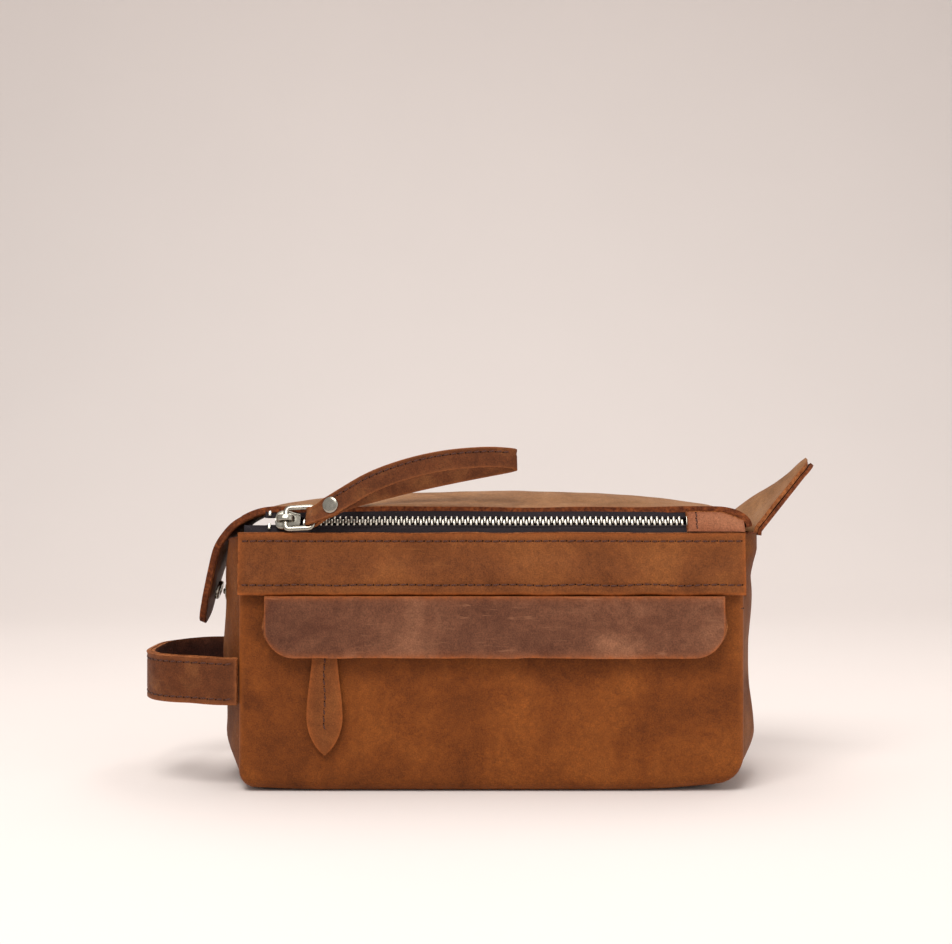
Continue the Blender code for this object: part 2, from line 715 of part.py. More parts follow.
def pocket_pull():
    """The long teardrop of folded leather, two layers, hung under the storm flap."""
    pivot = add_pivot("pocket_pull_pivot", (POCKET_SLIDER_X, -HALF_DEPTH - 1.8, PULL_TOP - 2.5))
    heights = spread(PULL_TIP, PULL_TOP, 14)
    near = -HALF_DEPTH - 2.85
    for name, y in (("pocket_pull_front", near), ("pocket_pull_back", near + PULL_LAYER + GAP * 0.5)):
        outer = []
        inner = []
        for z in heights:
            half = pull_half_width(z)
            outer.append([Vector((POCKET_SLIDER_X + s * half, y, z)) for s in (-1.0, 1.0)])
            inner.append([Vector((POCKET_SLIDER_X + s * half, y + PULL_LAYER, z)) for s in (-1.0, 1.0)])
        sheet(name, outer, inner, "leather_brown", pivot)


# ---- lid, tongue and ear -------------------------------------------------------------------------


def left_shoulder_share(x):
    """0 where the lid's top is level, 1 at the crease where the tongue begins."""
    return max(0.0, -x - LID_LEFT_SHOULDER) / (-LID_LEFT_CREASE_X - LID_LEFT_SHOULDER)


def lid_end_fall(x):
    """How far the lid's ends drop below its level top edge at x."""
    if x > LID_RIGHT_SHOULDER:
        run = LID_RIGHT_END_X - LID_RIGHT_SHOULDER
        share = min((x - LID_RIGHT_SHOULDER) / run, 1.0)
        return (LID_EDGE_Z - LID_RIGHT_END_Z) * (1.0 - math.sqrt(1.0 - share * share))
    return (LID_EDGE_Z - LID_LEFT_CREASE_Z) * left_shoulder_share(x) ** 2


def lid_dome(x):
    return LID_DOME * max(0.0, 1.0 - abs(x / LID_DOME_REACH) ** 4) ** 1.5


def lid_point(x, share):
    """A point of the lid's outer face, share from 0 (front edge) to 1 (rear hinge)."""
    edge = LID_EDGE_Z - lid_end_fall(x)
    rear_fall = max(0.0, edge - LID_REAR_Z) * (1.0 - math.sqrt(max(0.0, 1.0 - share ** 6)))
    rear_fall *= 1.0 - left_shoulder_share(x) ** 2
    y = LID_FRONT_Y + share * (LID_REAR_Y - LID_FRONT_Y)
    return Vector((x, y, edge - rear_fall + lid_dome(x) * 4.0 * share * (1.0 - share)))


def lid_normal(x, share):
    step = 0.02
    low = max(share - step, 0.0)
    high = min(share + step, 1.0)
    along = lid_point(x, high) - lid_point(x, low)
    reach = 1.0
    left = max(x - reach, LID_LEFT_CREASE_X)
    right = min(x + reach, LID_RIGHT_END_X - 0.05)
    across = lid_point(right, share) - lid_point(left, share)
    return across.cross(along).normalized()


def lid_xs(left_end):
    left = [left_end, -119.5, -114.0, -106.0]
    right = [112.0, 118.0, 122.5, 126.0, 128.4, LID_RIGHT_END_X]
    return left + [-90.0, -50.0, 0.0, 50.0, 90.0] + right


def lid_grid(depth, left_end=LID_LEFT_CREASE_X, ends=(0.0, 1.0)):
    """Rows of points from the lid's front edge to its hinge, the given depth under the outer face."""
    shares = [ends[0]] + [share for share in LID_SHARES if ends[0] < share < ends[1]] + [ends[1]]
    grid = []
    for share in shares:
        row = []
        for x in lid_xs(left_end):
            left_cut = crease_trim(x, share)
            row.append(lid_point(x, left_cut) - lid_normal(x, left_cut) * depth)
        grid.append(row)
    return grid


def crease_trim(x, share):
    """Narrows the lid's left end evenly to the tongue's base width at the crease."""
    amount = left_shoulder_share(x) ** 2
    depth = LID_REAR_Y - LID_FRONT_Y
    low = (-TONGUE_BASE_HALF - LID_FRONT_Y) / depth * amount
    high = 1.0 - (LID_REAR_Y - TONGUE_BASE_HALF) / depth * amount
    return low + share * (high - low)


def lid(pivot):
    skin = lid_grid(0.0)
    skin_low = lid_grid(LID_OUTER_THICK)
    sheet("lid_outer", skin, skin_low, "leather_light", pivot)
    start = LID_OUTER_THICK + GAP
    upper = lid_grid(start, LID_LINING_LEFT_X, LID_LINING_ENDS)
    lower = lid_grid(start + LID_LINING_THICK, LID_LINING_LEFT_X, LID_LINING_ENDS)
    sheet("lid_lining", upper, lower, "leather_dark", pivot)


def tongue_angle(along):
    share = min(along / TONGUE_BEND, 1.0)
    return TONGUE_START_ANGLE + (TONGUE_END_ANGLE - TONGUE_START_ANGLE) * share


def tongue_path(along, depth=0.0):
    """A point of the tongue's centre line in X and Z: a steady bend, then straight to the tip."""
    steps = 24
    x = LID_LEFT_CREASE_X - 0.7
    z = LID_LEFT_CREASE_Z - 0.4
    for k in range(steps):
        angle = tongue_angle((k + 0.5) / steps * along)
        x -= math.cos(angle) * along / steps
        z += math.sin(angle) * along / steps
    angle = tongue_angle(along)
    inward = Vector((-math.sin(angle), 0.0, -math.cos(angle)))
    return Vector((x, 0.0, z)) + inward * depth


def tongue_half(along, length, base, tip):
    """Half width of a tapered flap with a round tip."""
    taper = base + (tip - base) * min(along / (length - tip), 1.0)
    from_tip = length - along
    if from_tip >= tip:
        return taper
    share = 1.0 - from_tip / tip
    return max(tip * math.sqrt(max(0.0, 1.0 - share * share)), 0.8)


def flap_rows(length, tip):
    straight = spread(0.0, length - tip, 8)
    turn = [length - tip + tip * math.sin(0.5 * math.pi * k / 4) for k in range(1, 5)]
    return straight + turn


def tapered_sheet(name, path, length, base, tip, depth, thick, finish, pivot):
    outer = []
    inner = []
    for along in flap_rows(length, tip):
        half = tongue_half(along, length, base, tip)
        outer.append([path(along, depth) + Vector((0.0, s * half, 0.0)) for s in (-1.0, 0.0, 1.0)])
        inner.append([path(along, depth + thick) + Vector((0.0, s * half, 0.0)) for s in (-1.0, 0.0, 1.0)])
    sheet(name, outer, inner, finish, pivot)


def tongue():
    pivot = add_pivot("tongue_pivot", (LID_LEFT_CREASE_X, 0.0, LID_LEFT_CREASE_Z))
    base = TONGUE_BASE_HALF - 0.4
    tapered_sheet("tongue_outer", tongue_path, TONGUE_LENGTH, base, TONGUE_TIP_HALF, 0.0, LID_OUTER_THICK,
                  "leather_brown", pivot)
    start = LID_OUTER_THICK + GAP

    tapered_sheet("tongue_lining", shifted_start(tongue_path, 1.5), TONGUE_LENGTH - 1.5, base, TONGUE_TIP_HALF,
                  start, LID_LINING_THICK, "leather_dark", pivot)
    return pivot


def shifted_start(path, offset):
    """The same path, started a little later."""
    return lambda along, depth: path(along + offset, depth)


def ear_path(along, depth):
    """The right ear is flat: it stands up and out from the gusset's top edge."""
    direction = Vector((math.cos(EAR_ANGLE), 0.0, math.sin(EAR_ANGLE)))
    below = Vector((math.sin(EAR_ANGLE), 0.0, -math.cos(EAR_ANGLE)))
    return Vector((EAR_X, 0.0, EAR_Z)) + direction * along + below * depth


def ear():
    pivot = add_pivot("ear_pivot", (EAR_X, 0.0, EAR_Z))
    tapered_sheet("ear_upper_layer", ear_path, EAR_LENGTH, EAR_BASE_HALF, EAR_TIP_HALF, -EAR_LAYER - GAP * 0.5,
                  EAR_LAYER, "leather_light", pivot)
    tapered_sheet("ear_lower_layer", ear_path, EAR_LENGTH, EAR_BASE_HALF, EAR_TIP_HALF, GAP * 0.5,
                  EAR_LAYER, "leather_brown", pivot)


# ---- snap ----------------------------------------------------------------------------------------


def snap(tongue_pivot):
    """Cap and socket on the tongue, stud and backing washer on the left gusset."""
    total = LID_OUTER_THICK + GAP + LID_LINING_THICK
    here = tongue_path(TONGUE_SNAP_AT, 0.0)
    ahead = tongue_path(TONGUE_SNAP_AT + 1.0, 0.0)
    along = (ahead - here).normalized()
    out = Vector((along.z, 0.0, -along.x))
    if out.x > 0.0:
        out = -out
    cap = [(0.0, GAP), (5.6, GAP), (6.2, 0.7), (5.2, 1.4), (0.0, 1.9)]
    turned("snap_cap", cap, here, out, "zip_metal", tongue_pivot)
    socket = [(0.0, GAP), (5.0, GAP), (5.0, 1.6), (4.4, 2.3), (2.4, 2.3), (2.3, 0.9), (0.0, 0.9)]
    socket_at = here - out * total
    turned("snap_socket", socket, socket_at, -out, "zip_metal", tongue_pivot)
    crease = Vector((LID_LEFT_CREASE_X, 0.0, LID_LEFT_CREASE_Z))
    arm = socket_at - out * 1.8 - crease
    closed_z = crease.z + arm.z * math.cos(TONGUE_CLOSE) + arm.x * math.sin(TONGUE_CLOSE)
    stud_at = gusset_point(-1, 0.5, closed_z)
    stud = [(0.0, 0.35), (4.6, 0.35), (4.6, 0.9), (1.6, 1.0), (1.2, 1.5), (1.6, 2.0), (1.1, 2.5), (0.0, 2.6)]
    turned("snap_stud", stud, stud_at, (-1.0, 0.0, 0.0), "zip_metal")
    washer = [(0.0, 0.35), (4.6, 0.35), (4.6, 1.0), (0.0, 1.0)]
    turned("snap_stud_washer", washer, stud_at + Vector((LEATHER, 0.0, 0.0)), (1.0, 0.0, 0.0), "zip_metal")


# ---- handle --------------------------------------------------------------------------------------


def handle_plan(share, inset):
    """The handle's plan curve from the front root (0) to the rear root (1), set in by inset."""
    angle = math.pi * (share - 0.5)
    reach = HANDLE_REACH + HANDLE_ROOT_START
    sine = math.sin(angle)
    x = HANDLE_ROOT_START - (reach - inset) * abs(math.cos(angle)) ** HANDLE_SQUARENESS
    y = (HANDLE_ROOT_Y - inset) * math.copysign(abs(sine) ** HANDLE_SQUARENESS, sine)
    return x, y


def handle_height(x):
    """Half height of the strap: full, with round roots centred on the flexing axis."""
    half = HANDLE_HEIGHT * 0.5
    from_axis = x - HANDLE_AXIS_X
    if from_axis <= 0.0:
        return half
    return math.sqrt(max(half * half - from_axis * from_axis, 1.0))


def handle():
    pivot = add_pivot("handle_pivot", (HANDLE_AXIS_X, 0.0, HANDLE_Z))
    shares = [0.0, 0.012, 0.03, 0.06, 0.1, 0.16, 0.23, 0.31, 0.4]
    shares = shares + [0.5] + [1.0 - s for s in reversed(shares)]
    for name, start, finish in (
        ("handle_outer_strap", 0.0, "leather_tan"),
        ("handle_inner_strap", HANDLE_LAYER + GAP, "leather_dark"),
    ):
        outer = []
        inner = []
        for share in shares:
            far = handle_plan(share, start)
            near = handle_plan(share, start + HANDLE_LAYER)
            half = handle_height(far[0])
            outer.append([Vector((far[0], far[1], HANDLE_Z + s * half)) for s in (-1.0, 1.0)])
            inner.append([Vector((near[0], near[1], HANDLE_Z + s * half)) for s in (-1.0, 1.0)])
        sheet(name, outer, inner, finish, pivot)


# ---- main slider, ring and wrist loop ------------------------------------------------------------


def slider():
    pivot = add_pivot("main_slider_pivot", on_slope(SLIDER_X, CHAIN_CENTRE, 0.0))
    half = SLIDER_WIDTH * 0.5
    for name, sign in (("main_slider_top", 1.0), ("main_slider_bottom", -1.0)):
        rings = []
        for x, share, flange in SLIDER_STATIONS:
            wide = half * share if sign > 0.0 else half * share * 0.93
            lip = max(wide - 0.9, CHAIN_HALF + 0.25)
            if flange > 1.0:
                lip = wide - 0.9
            section = ((-wide, flange), (-lip, flange), (-lip, 1.5), (lip, 1.5), (lip, flange), (wide, flange))
            section += ((wide, 2.1), (wide - 0.7, 2.7), (-wide + 0.7, 2.7), (-wide, 2.1))
            rings.append([on_slope(SLIDER_X + x, CHAIN_CENTRE + up, sign * out) for up, out in section])
        loft(name, rings, "zip_metal", pivot)
    rings = []
    for x, rise in ((-4.6, 0.0), (-4.2, 1.9), (-2.4, 3.2), (0.6, 3.2), (2.4, 2.0), (2.9, 0.0)):
        low = 2.7 + GAP + max(rise - 1.3, 0.0)
        high = 2.7 + GAP + 1.0 + rise * 0.9
        ring = []
        for up, out in ((-1.6, low), (1.6, low), (1.6, high), (-1.6, high)):
            ring.append(on_slope(SLIDER_X + x, CHAIN_CENTRE + up, out))
        rings.append(ring)
    loft("main_slider_crown", rings, "zip_metal", pivot)


def ring_place(along, up, out):
    return on_slope(RING_AXIS_X + along, CHAIN_CENTRE + up, RING_OUT + out + along * 0.12)


def pull_ring():
    """A rectangular ring through the slider's crown, its long sides along the zip."""
    pivot = add_pivot("pull_ring_pivot", on_slope(RING_AXIS_X, CHAIN_CENTRE, RING_OUT))
    bar = RING_BAR * 0.5
    sections = []
    for along, side, inward in (
        (0.0, -1.0, 1.0), (0.35, -1.0, 0.0), (1.0, -1.0, -1.0),
        (1.0, 1.0, -1.0), (0.35, 1.0, 0.0), (0.0, 1.0, 1.0),
    ):
        section = []
        for part, out in ((-1.0, -0.8), (1.0, -0.8), (1.0, 0.8), (-1.0, 0.8)):
            step_along = along * RING_LENGTH + part * inward * bar
            step_up = side * (RING_HALF_WIDTH - part * bar)
            section.append(ring_place(step_along, step_up, out * bar))
        sections.append(section)
    loft("pull_ring", sections, "zip_metal", pivot, closed=True)


def smooth_curve(points, count):
    """Evenly shared points of a Catmull-Rom curve through the given points."""
    result = []
    last = len(points) - 1
    for k in range(count):
        position = last * k / (count - 1)
        index = min(int(position), last - 1)
        t = position - index
        before = points[max(index - 1, 0)]
        start = points[index]
        end = points[index + 1]
        after = points[min(index + 2, last)]
        value = 2.0 * start + (end - before) * t
        value += (2.0 * before - 5.0 * start + 4.0 * end - after) * t * t
        value += (3.0 * start - 3.0 * end + after - before) * t ** 3
        result.append(value * 0.5)
    return result


def loop_path():
    """The strap's centre line: round the ring's end bar, out on the far half, back on the near."""
    centre = ring_place(RING_LENGTH, 0.0, 0.0)
    eye = []
    for angle in (70.0, 110.0, 150.0, 180.0, 210.0, 250.0, 290.0):
        turn = math.radians(angle)
        round_bar = Vector((math.cos(turn), 0.0, 0.0)) + OUTWARD * math.sin(turn)
        eye.append(centre + round_bar * LOOP_EYE_RADIUS)
    near = smooth_curve([Vector(p) for p in LOOP_NEAR], LOOP_HALF_POINTS)
    far = smooth_curve([Vector(p) for p in LOOP_FAR], LOOP_HALF_POINTS)
    return eye + list(reversed(far)) + list(reversed(near))


def loop_frames():
    """(centre, width direction, thickness direction, width) at each point of the strap."""
    path = loop_path()
    centre = ring_place(RING_LENGTH, 0.0, 0.0)
    frames = []
    for k, here in enumerate(path):
        tangent = (path[(k + 1) % len(path)] - path[k - 1]).normalized()
        by_ring = max(0.0, 1.0 - (here - centre).length / 22.0)
        wide = SLOPE * by_ring + Vector((0.0, 0.0, 1.0)) * (1.0 - by_ring)
        wide = (wide - tangent * wide.dot(tangent)).normalized()
        narrow = ease((here - centre).length, 4.0, 12.0)
        width = LOOP_EYE_WIDTH + (LOOP_WIDTH - LOOP_EYE_WIDTH) * narrow
        frames.append((here, wide, tangent.cross(wide).normalized(), width))
    return frames


def wrist_loop():
    """A leather strap folded round the ring's end bar, riveted, and open as a long loop beyond."""
    pivot = add_pivot("wrist_loop_pivot", ring_place(RING_LENGTH, 0.0, 0.0))
    rings = []
    for here, wide, thick, width in loop_frames():
        ring = []
        for across, through in ((-0.5, -0.5), (0.5, -0.5), (0.5, 0.5), (-0.5, 0.5)):
            ring.append(here + wide * across * width + thick * through * LOOP_THICK)
        rings.append(ring)
    loft("wrist_strap", rings, "leather_tan", pivot, closed=True)
    rivet(pivot)


def rivet(pivot):
    """The rivet's cap on the near half and its back on the far half."""
    frames = loop_frames()
    near_half = frames[-LOOP_HALF_POINTS:]
    far_half = frames[-2 * LOOP_HALF_POINTS:-LOOP_HALF_POINTS]
    near = min(near_half, key=lambda f: (f[0] - Vector(LOOP_NEAR[1])).length)
    far = min(far_half, key=lambda f: (f[0] - Vector(LOOP_FAR[-2])).length)
    stand = LOOP_THICK * 0.5 + 3.0 * GAP
    cap = [(0.0, 0.0), (RIVET_RADIUS, 0.0), (RIVET_RADIUS, 0.5), (RIVET_RADIUS * 0.7, 1.2), (0.0, 1.5)]
    back = [(0.0, 0.0), (RIVET_RADIUS * 0.85, 0.0), (RIVET_RADIUS * 0.85, 0.4), (0.0, 0.8)]
    for name, profile, frame, toward in (
        ("rivet_cap", cap, near, Vector((0.0, -1.0, 0.0))),
        ("rivet_back", back, far, Vector((0.0, 1.0, 0.0))),
    ):
        out = frame[2] if frame[2].dot(toward) > 0.0 else -frame[2]
        turned(name, profile, frame[0] + out * stand, out, "zip_metal", pivot)


# ---- the whole bag -------------------------------------------------------------------------------


def build():
    front_panel()
    back_panel()
    base_panel()
    gusset("left_gusset", -1)
    gusset("right_gusset", 1)
    lining()
    top_band()
    front_tape()
    front_chain()
    end_patch()
    storm_flap()
    pocket_zip()
    pocket_bag()
    pocket_slider()
    pocket_pull()
    lid_pivot = add_pivot("lid_pivot", (0.0, LID_REAR_Y, LID_REAR_Z))
    lid(lid_pivot)
    rear_tape(lid_pivot)
    rear_chain(lid_pivot)
    zip_stops(lid_pivot)
    tongue_pivot = tongue()
    snap(tongue_pivot)
    ear()
    handle()
    slider()
    pull_ring()
    wrist_loop()


clear_scene()
MATERIALS = make_materials()
build()
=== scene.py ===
from math import copysign, cos, exp, pi, radians, sin, sqrt, tanh, tau

import bmesh
import bpy
from mathutils import Matrix, Vector, noise


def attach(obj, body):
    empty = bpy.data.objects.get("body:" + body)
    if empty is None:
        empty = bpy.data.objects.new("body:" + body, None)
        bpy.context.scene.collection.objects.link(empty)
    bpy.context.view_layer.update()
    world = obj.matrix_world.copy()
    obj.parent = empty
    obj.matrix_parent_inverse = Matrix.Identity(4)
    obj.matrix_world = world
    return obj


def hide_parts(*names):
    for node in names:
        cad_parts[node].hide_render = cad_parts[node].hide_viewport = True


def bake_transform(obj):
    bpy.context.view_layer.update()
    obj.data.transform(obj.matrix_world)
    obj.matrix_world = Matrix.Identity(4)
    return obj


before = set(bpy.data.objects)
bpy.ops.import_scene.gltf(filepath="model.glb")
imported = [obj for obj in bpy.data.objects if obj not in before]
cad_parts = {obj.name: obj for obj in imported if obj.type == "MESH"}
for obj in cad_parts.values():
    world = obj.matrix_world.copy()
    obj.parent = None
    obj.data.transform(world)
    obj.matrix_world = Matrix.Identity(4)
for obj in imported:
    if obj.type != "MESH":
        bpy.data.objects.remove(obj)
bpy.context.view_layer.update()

# ---- shape of the bag, millimetres ----

MM = 0.001
GAP = 0.3
HALF_LENGTH = 125.0
HALF_DEPTH = 47.5
FRONT_HEIGHT = 128.0
LEATHER = 2.0
BOTTOM_RADIUS = 7.0
SEAM_ROUND = 4.0
CORNER_LEFT = 9.0
CORNER_RIGHT = 15.0
GUSSET_BULGE = 13.0
GUSSET_TOP_LEFT = 126.0
GUSSET_TOP_DIP = 4.0
GUSSET_TOP_RIGHT = 127.4
GUSSET_TOP_BULGE = 8.4
BACK_TOP = 126.5
BAND_BOTTOM = 97.5
FRONT_TOP = 117.5
LID_FRONT_Y = -41.6
LID_REAR_Y = 47.3
LID_EDGE_Z = 139.8
LID_REAR_Z = 128.6
LID_DOME = 8.0
LID_DOME_REACH = 122.0
LID_RIGHT_SHOULDER = 112.0
LID_LEFT_SHOULDER = 106.0
LID_LEFT_CREASE_X = -124.5
LID_LEFT_CREASE_Z = 136.0
LID_RIGHT_END_X = 129.5
LID_RIGHT_END_Z = 130.2
LID_THICK = 1.9
ZIP_TILT = radians(65.0)
ZIP_START = Vector((0.0, -46.9, 128.0))
ZIP_STRIP = 12.1
CHAIN_CENTRE = ZIP_STRIP * 0.5
TOOTH_PITCH = 2.75
CHAIN_LEFT = -93.5
CHAIN_RIGHT = 96.0
SLIDER_X = -100.5
PATCH_LEFT = 97.4
PATCH_RIGHT = 124.6
FLAP_LEFT = -111.2
FLAP_RIGHT = 114.2
FLAP_TOP = 97.1
FLAP_BOTTOM = 67.0
FLAP_CORNER = 15.0
FLAP_OUTER_Y = -53.0
FLAP_THICK = 1.9
POCKET_WINDOW_HALF = 104.0
POCKET_WINDOW_LOW = 76.0
POCKET_WINDOW_HIGH = 88.0
POCKET_ZIP_Z = 82.0
POCKET_SLIDER_X = -82.0
PULL_TOP = 75.5
PULL_TIP = 19.0
PULL_BELLY_Z = 37.0
PULL_WIDEST = 17.7
PULL_NECK = 12.0
PULL_FACE = -HALF_DEPTH - 2.85
HANDLE_Z = 55.2
HANDLE_HEIGHT = 22.5
HANDLE_REACH = 178.0
HANDLE_ROOT_START = -126.0
HANDLE_ROOT_Y = 45.6
HANDLE_LAYER = 1.9
HANDLE_SQUARENESS = 0.72
TONGUE_LENGTH = 65.0
TONGUE_BASE_HALF = 35.0
TONGUE_TIP_HALF = 11.0
TONGUE_START_ANGLE = radians(-24.0)
TONGUE_END_ANGLE = radians(-74.0)
TONGUE_BEND = 26.0
EAR_X = 136.0
EAR_Z = 130.4
EAR_ANGLE = radians(46.0)
EAR_LENGTH = 46.0
EAR_BASE_HALF = 29.0
EAR_TIP_HALF = 9.0
RING_AXIS_X = SLIDER_X - 0.9
RING_OUT = 3.85
RING_LENGTH = 13.6
RING_HALF_WIDTH = 5.6
LOOP_WIDTH = 10.0
LOOP_EYE_WIDTH = 8.6
LOOP_THICK = 2.0
LOOP_EYE_RADIUS = 2.6
LOOP_NEAR = (
    (-82.6, -53.5, 139.3), (-78.5, -54.2, 141.6), (-72.0, -55.6, 145.4), (-57.4, -58.2, 153.6),
    (-40.0, -59.0, 159.8), (-22.0, -58.0, 163.7), (-4.0, -55.6, 165.3), (7.0, -53.0, 165.0),
    (11.8, -49.6, 164.4),
)
LOOP_FAR = (
    (12.0, -45.6, 163.6), (7.4, -42.2, 162.4), (-4.0, -38.6, 160.2), (-22.0, -35.4, 156.6),
    (-42.0, -35.6, 152.2), (-60.0, -41.0, 147.6), (-72.0, -50.5, 144.2), (-78.5, -51.1, 141.0),
    (-82.0, -50.6, 138.9),
)
STITCH_PITCH = 4.1
STITCH_WIDTH = 0.78
STITCH_HEIGHT = 0.36
BAND_FACE = -HALF_DEPTH - 0.3
HEM_OUT = 4.3
HEM_TOP = 107.5
BAND_ROWS = (102.6, 124.0)
HALF_POINTS = 70
LID_BEND = ("lid", "tongue", (-120.5, 0.0, 138.0), (-131.0, 0.0, 131.0))
HINGE_BEND = ("bag", "lid", (0.0, 45.2, 127.2), (0.0, 45.2, 129.8))
EAR_BEND = ("bag", "ear", (132.5, 0.0, 127.0), (138.5, 0.0, 133.0))
HANDLE_BEND = ("bag", "handle", (-131.0, 0.0, HANDLE_Z), (-142.0, 0.0, HANDLE_Z))

UP = Vector((0.0, 0.0, 1.0))
FORWARD = Vector((0.0, -1.0, 0.0))
SLOPE = Vector((0.0, cos(ZIP_TILT), sin(ZIP_TILT)))
OUTWARD = Vector((0.0, -sin(ZIP_TILT), cos(ZIP_TILT)))


# ---- small tools ----


def vec(*parts):
    return Vector(parts)


def spread(low, high, count):
    return [low + (high - low) * k / (count - 1) for k in range(count)]


def sheet(point, rows, columns):
    """Rows of point(row, column)."""
    return [[point(row, column) for column in columns] for row in rows]


def circle(count, start=0.0):
    """The cosine and sine of each of count even steps round a circle."""
    angles = [tau * (k + start) / count for k in range(count)]
    return [(cos(angle), sin(angle)) for angle in angles]


def signed_power(value, power):
    return copysign(abs(value) ** power, value)


def graded(low, high, count, fine=(0.6, 1.6, 3.0)):
    """Even steps from low to high with extra lines close to both ends."""
    inner = spread(low + fine[-1] * 1.5, high - fine[-1] * 1.5, count)
    return [low] + [low + f for f in fine] + inner + [high - f for f in reversed(fine)] + [high]


def clamp(value):
    return min(max(value, 0.0), 1.0)


def ease(value, low, high):
    share = clamp((value - low) / (high - low))
    return share * share * (3.0 - 2.0 * share)


def arc_drop(amount, radius):
    return radius * (1.0 - sqrt(1.0 - clamp(amount / radius) ** 2))


def ripple(a, b, size, seed=0.0):
    """Soft unevenness from -1 to 1, its waves about size millimetres long."""
    return noise.noise(vec(a / size, b / size, seed * 7.31 + 0.5)) * 1.6


def groove(distance, width=0.9):
    return exp(-((distance / width) ** 2))


def linear(red, green, blue):
    """Linear colour from the usual 0 to 255 values."""
    return tuple(((c / 255.0) / 12.92) if c < 11 else (((c / 255.0) + 0.055) / 1.055) ** 2.4
                 for c in (red, green, blue)) + (1.0,)


# ---- materials ----


class Finish:
    """A new material with its shader, the object's coordinates and the nodes between them."""

    def __init__(self, name):
        self.material = bpy.data.materials.new(name)
        self.material.use_nodes = True
        self.tree = self.material.node_tree
        self.place = self.node("ShaderNodeTexCoord").outputs["Object"]

    def connect(self, made, inputs):
        for key, value in inputs.items():
            if isinstance(value, bpy.types.NodeSocket):
                self.tree.links.new(value, made.inputs[key])
            else:
                made.inputs[key].default_value = value

    def node(self, kind, inputs=None, **settings):
        made = self.tree.nodes.new(kind)
        for key, value in settings.items():
            setattr(made, key, value)
        self.connect(made, inputs or {})
        return made

    def ramp(self, factor, *stops):
        made = self.node("ShaderNodeValToRGB", {"Fac": factor})
        stripes = made.color_ramp.elements
        while len(stripes) < len(stops):
            stripes.new(0.5)
        for stripe, (place, colour) in zip(stripes, stops):
            stripe.position = place
            stripe.color = colour if isinstance(colour, tuple) else (colour, colour, colour, 1.0)
        return made.outputs["Color"]

    def mix(self, factor, first, second, mode="MIX"):
        inputs = {0: factor, 6: first, 7: second}
        return self.node("ShaderNodeMix", inputs, data_type="RGBA", blend_type=mode).outputs[2]

    def noise(self, scale, detail=4.0, rough=0.6, warp=0.0, place=None):
        inputs = {"Vector": place or self.place, "Scale": scale, "Detail": detail, "Roughness": rough,
                  "Distortion": warp}
        return self.node("ShaderNodeTexNoise", inputs).outputs["Fac"]

    def wave(self, place, scale, direction, warp=0.4):
        return self.node("ShaderNodeTexWave", {"Vector": place, "Scale": scale, "Distortion": warp},
                         wave_type="BANDS", bands_direction=direction).outputs["Fac"]

    def bump(self, height, strength, distance, under=None):
        inputs = {"Height": height, "Strength": strength, "Distance": distance}
        if under:
            inputs["Normal"] = under
        return self.node("ShaderNodeBump", inputs).outputs["Normal"]

    def stretched(self, scale, turn):
        inputs = {"Vector": self.place, "Scale": scale, "Rotation": turn}
        return self.node("ShaderNodeMapping", inputs).outputs["Vector"]

    def done(self, colour, rough, normal=None, gloss=0.5, others=None):
        inputs = {"Base Color": colour, "Roughness": rough, "Specular IOR Level": gloss, **(others or {})}
        if normal:
            inputs["Normal"] = normal
        self.connect(self.tree.nodes["Principled BSDF"], inputs)
        return self.material


def darker(colour, factor):
    return tuple(c * factor for c in colour[:3]) + (1.0,)


def leather(name, dark, middle, light, edge, scratch=0.25, rough=0.62, cloudy=26.0, grain=0.5):
    """Waxed, brushed leather: cloudy colour, fine fibres, pale scratches, pores, worn edges."""
    dark, middle, light, edge = (linear(*colour) for colour in (dark, middle, light, edge))
    f = Finish(name)
    clouds = f.noise(cloudy, 5.0, 0.62, 0.4)
    colour = f.ramp(clouds, (0.30, dark), (0.50, middle), (0.72, light))
    flecks = f.ramp(f.noise(330.0, 6.0, 0.7), (0.32, 0.30), (0.68, 0.70))
    colour = f.mix(0.42, colour, flecks, "OVERLAY")
    speckle = f.ramp(f.noise(1500.0, 3.0), (0.30, 0.22), (0.70, 0.78))
    colour = f.mix(0.55, colour, speckle, "OVERLAY")
    streaks = f.stretched((70.0, 70.0, 620.0), (0.3, 0.25, 0.4))
    lines = f.ramp(f.noise(1.0, 3.0, 0.55, 0.8, streaks), (0.60, 0.0), (0.72, 1.0))
    patches = f.ramp(f.noise(45.0, 3.0), (0.45, 0.0), (0.62, 1.0))
    marks = f.mix(1.0, lines, patches, "MULTIPLY")
    amount = f.mix(1.0, marks, (scratch, scratch, scratch, 1.0), "MULTIPLY")
    colour = f.mix(amount, colour, light)
    wear = f.node("ShaderNodeAttribute", attribute_name="wear").outputs["Fac"]
    frayed = f.ramp(f.noise(420.0, 4.0, 0.7), (0.3, 0.25), (0.65, 1.0))
    colour = f.mix(f.mix(1.0, wear, frayed, "MULTIPLY"), colour, edge)
    pores = f.node("ShaderNodeTexVoronoi", {"Vector": f.place, "Scale": 1150.0}).outputs["Distance"]
    normal = f.bump(pores, 0.5 * grain, 0.0005)
    normal = f.bump(lines, 0.12, 0.0003, normal)
    normal = f.bump(f.noise(150.0, 6.0, 0.65, 0.5), 0.55 * grain, 0.0008, normal)
    finish = f.ramp(clouds, (0.3, rough + 0.1), (0.7, rough - 0.08))
    sheen = {"Sheen Weight": 0.05, "Sheen Roughness": 0.45, "Sheen Tint": light}
    return f.done(colour, finish, normal, 0.18, sheen)


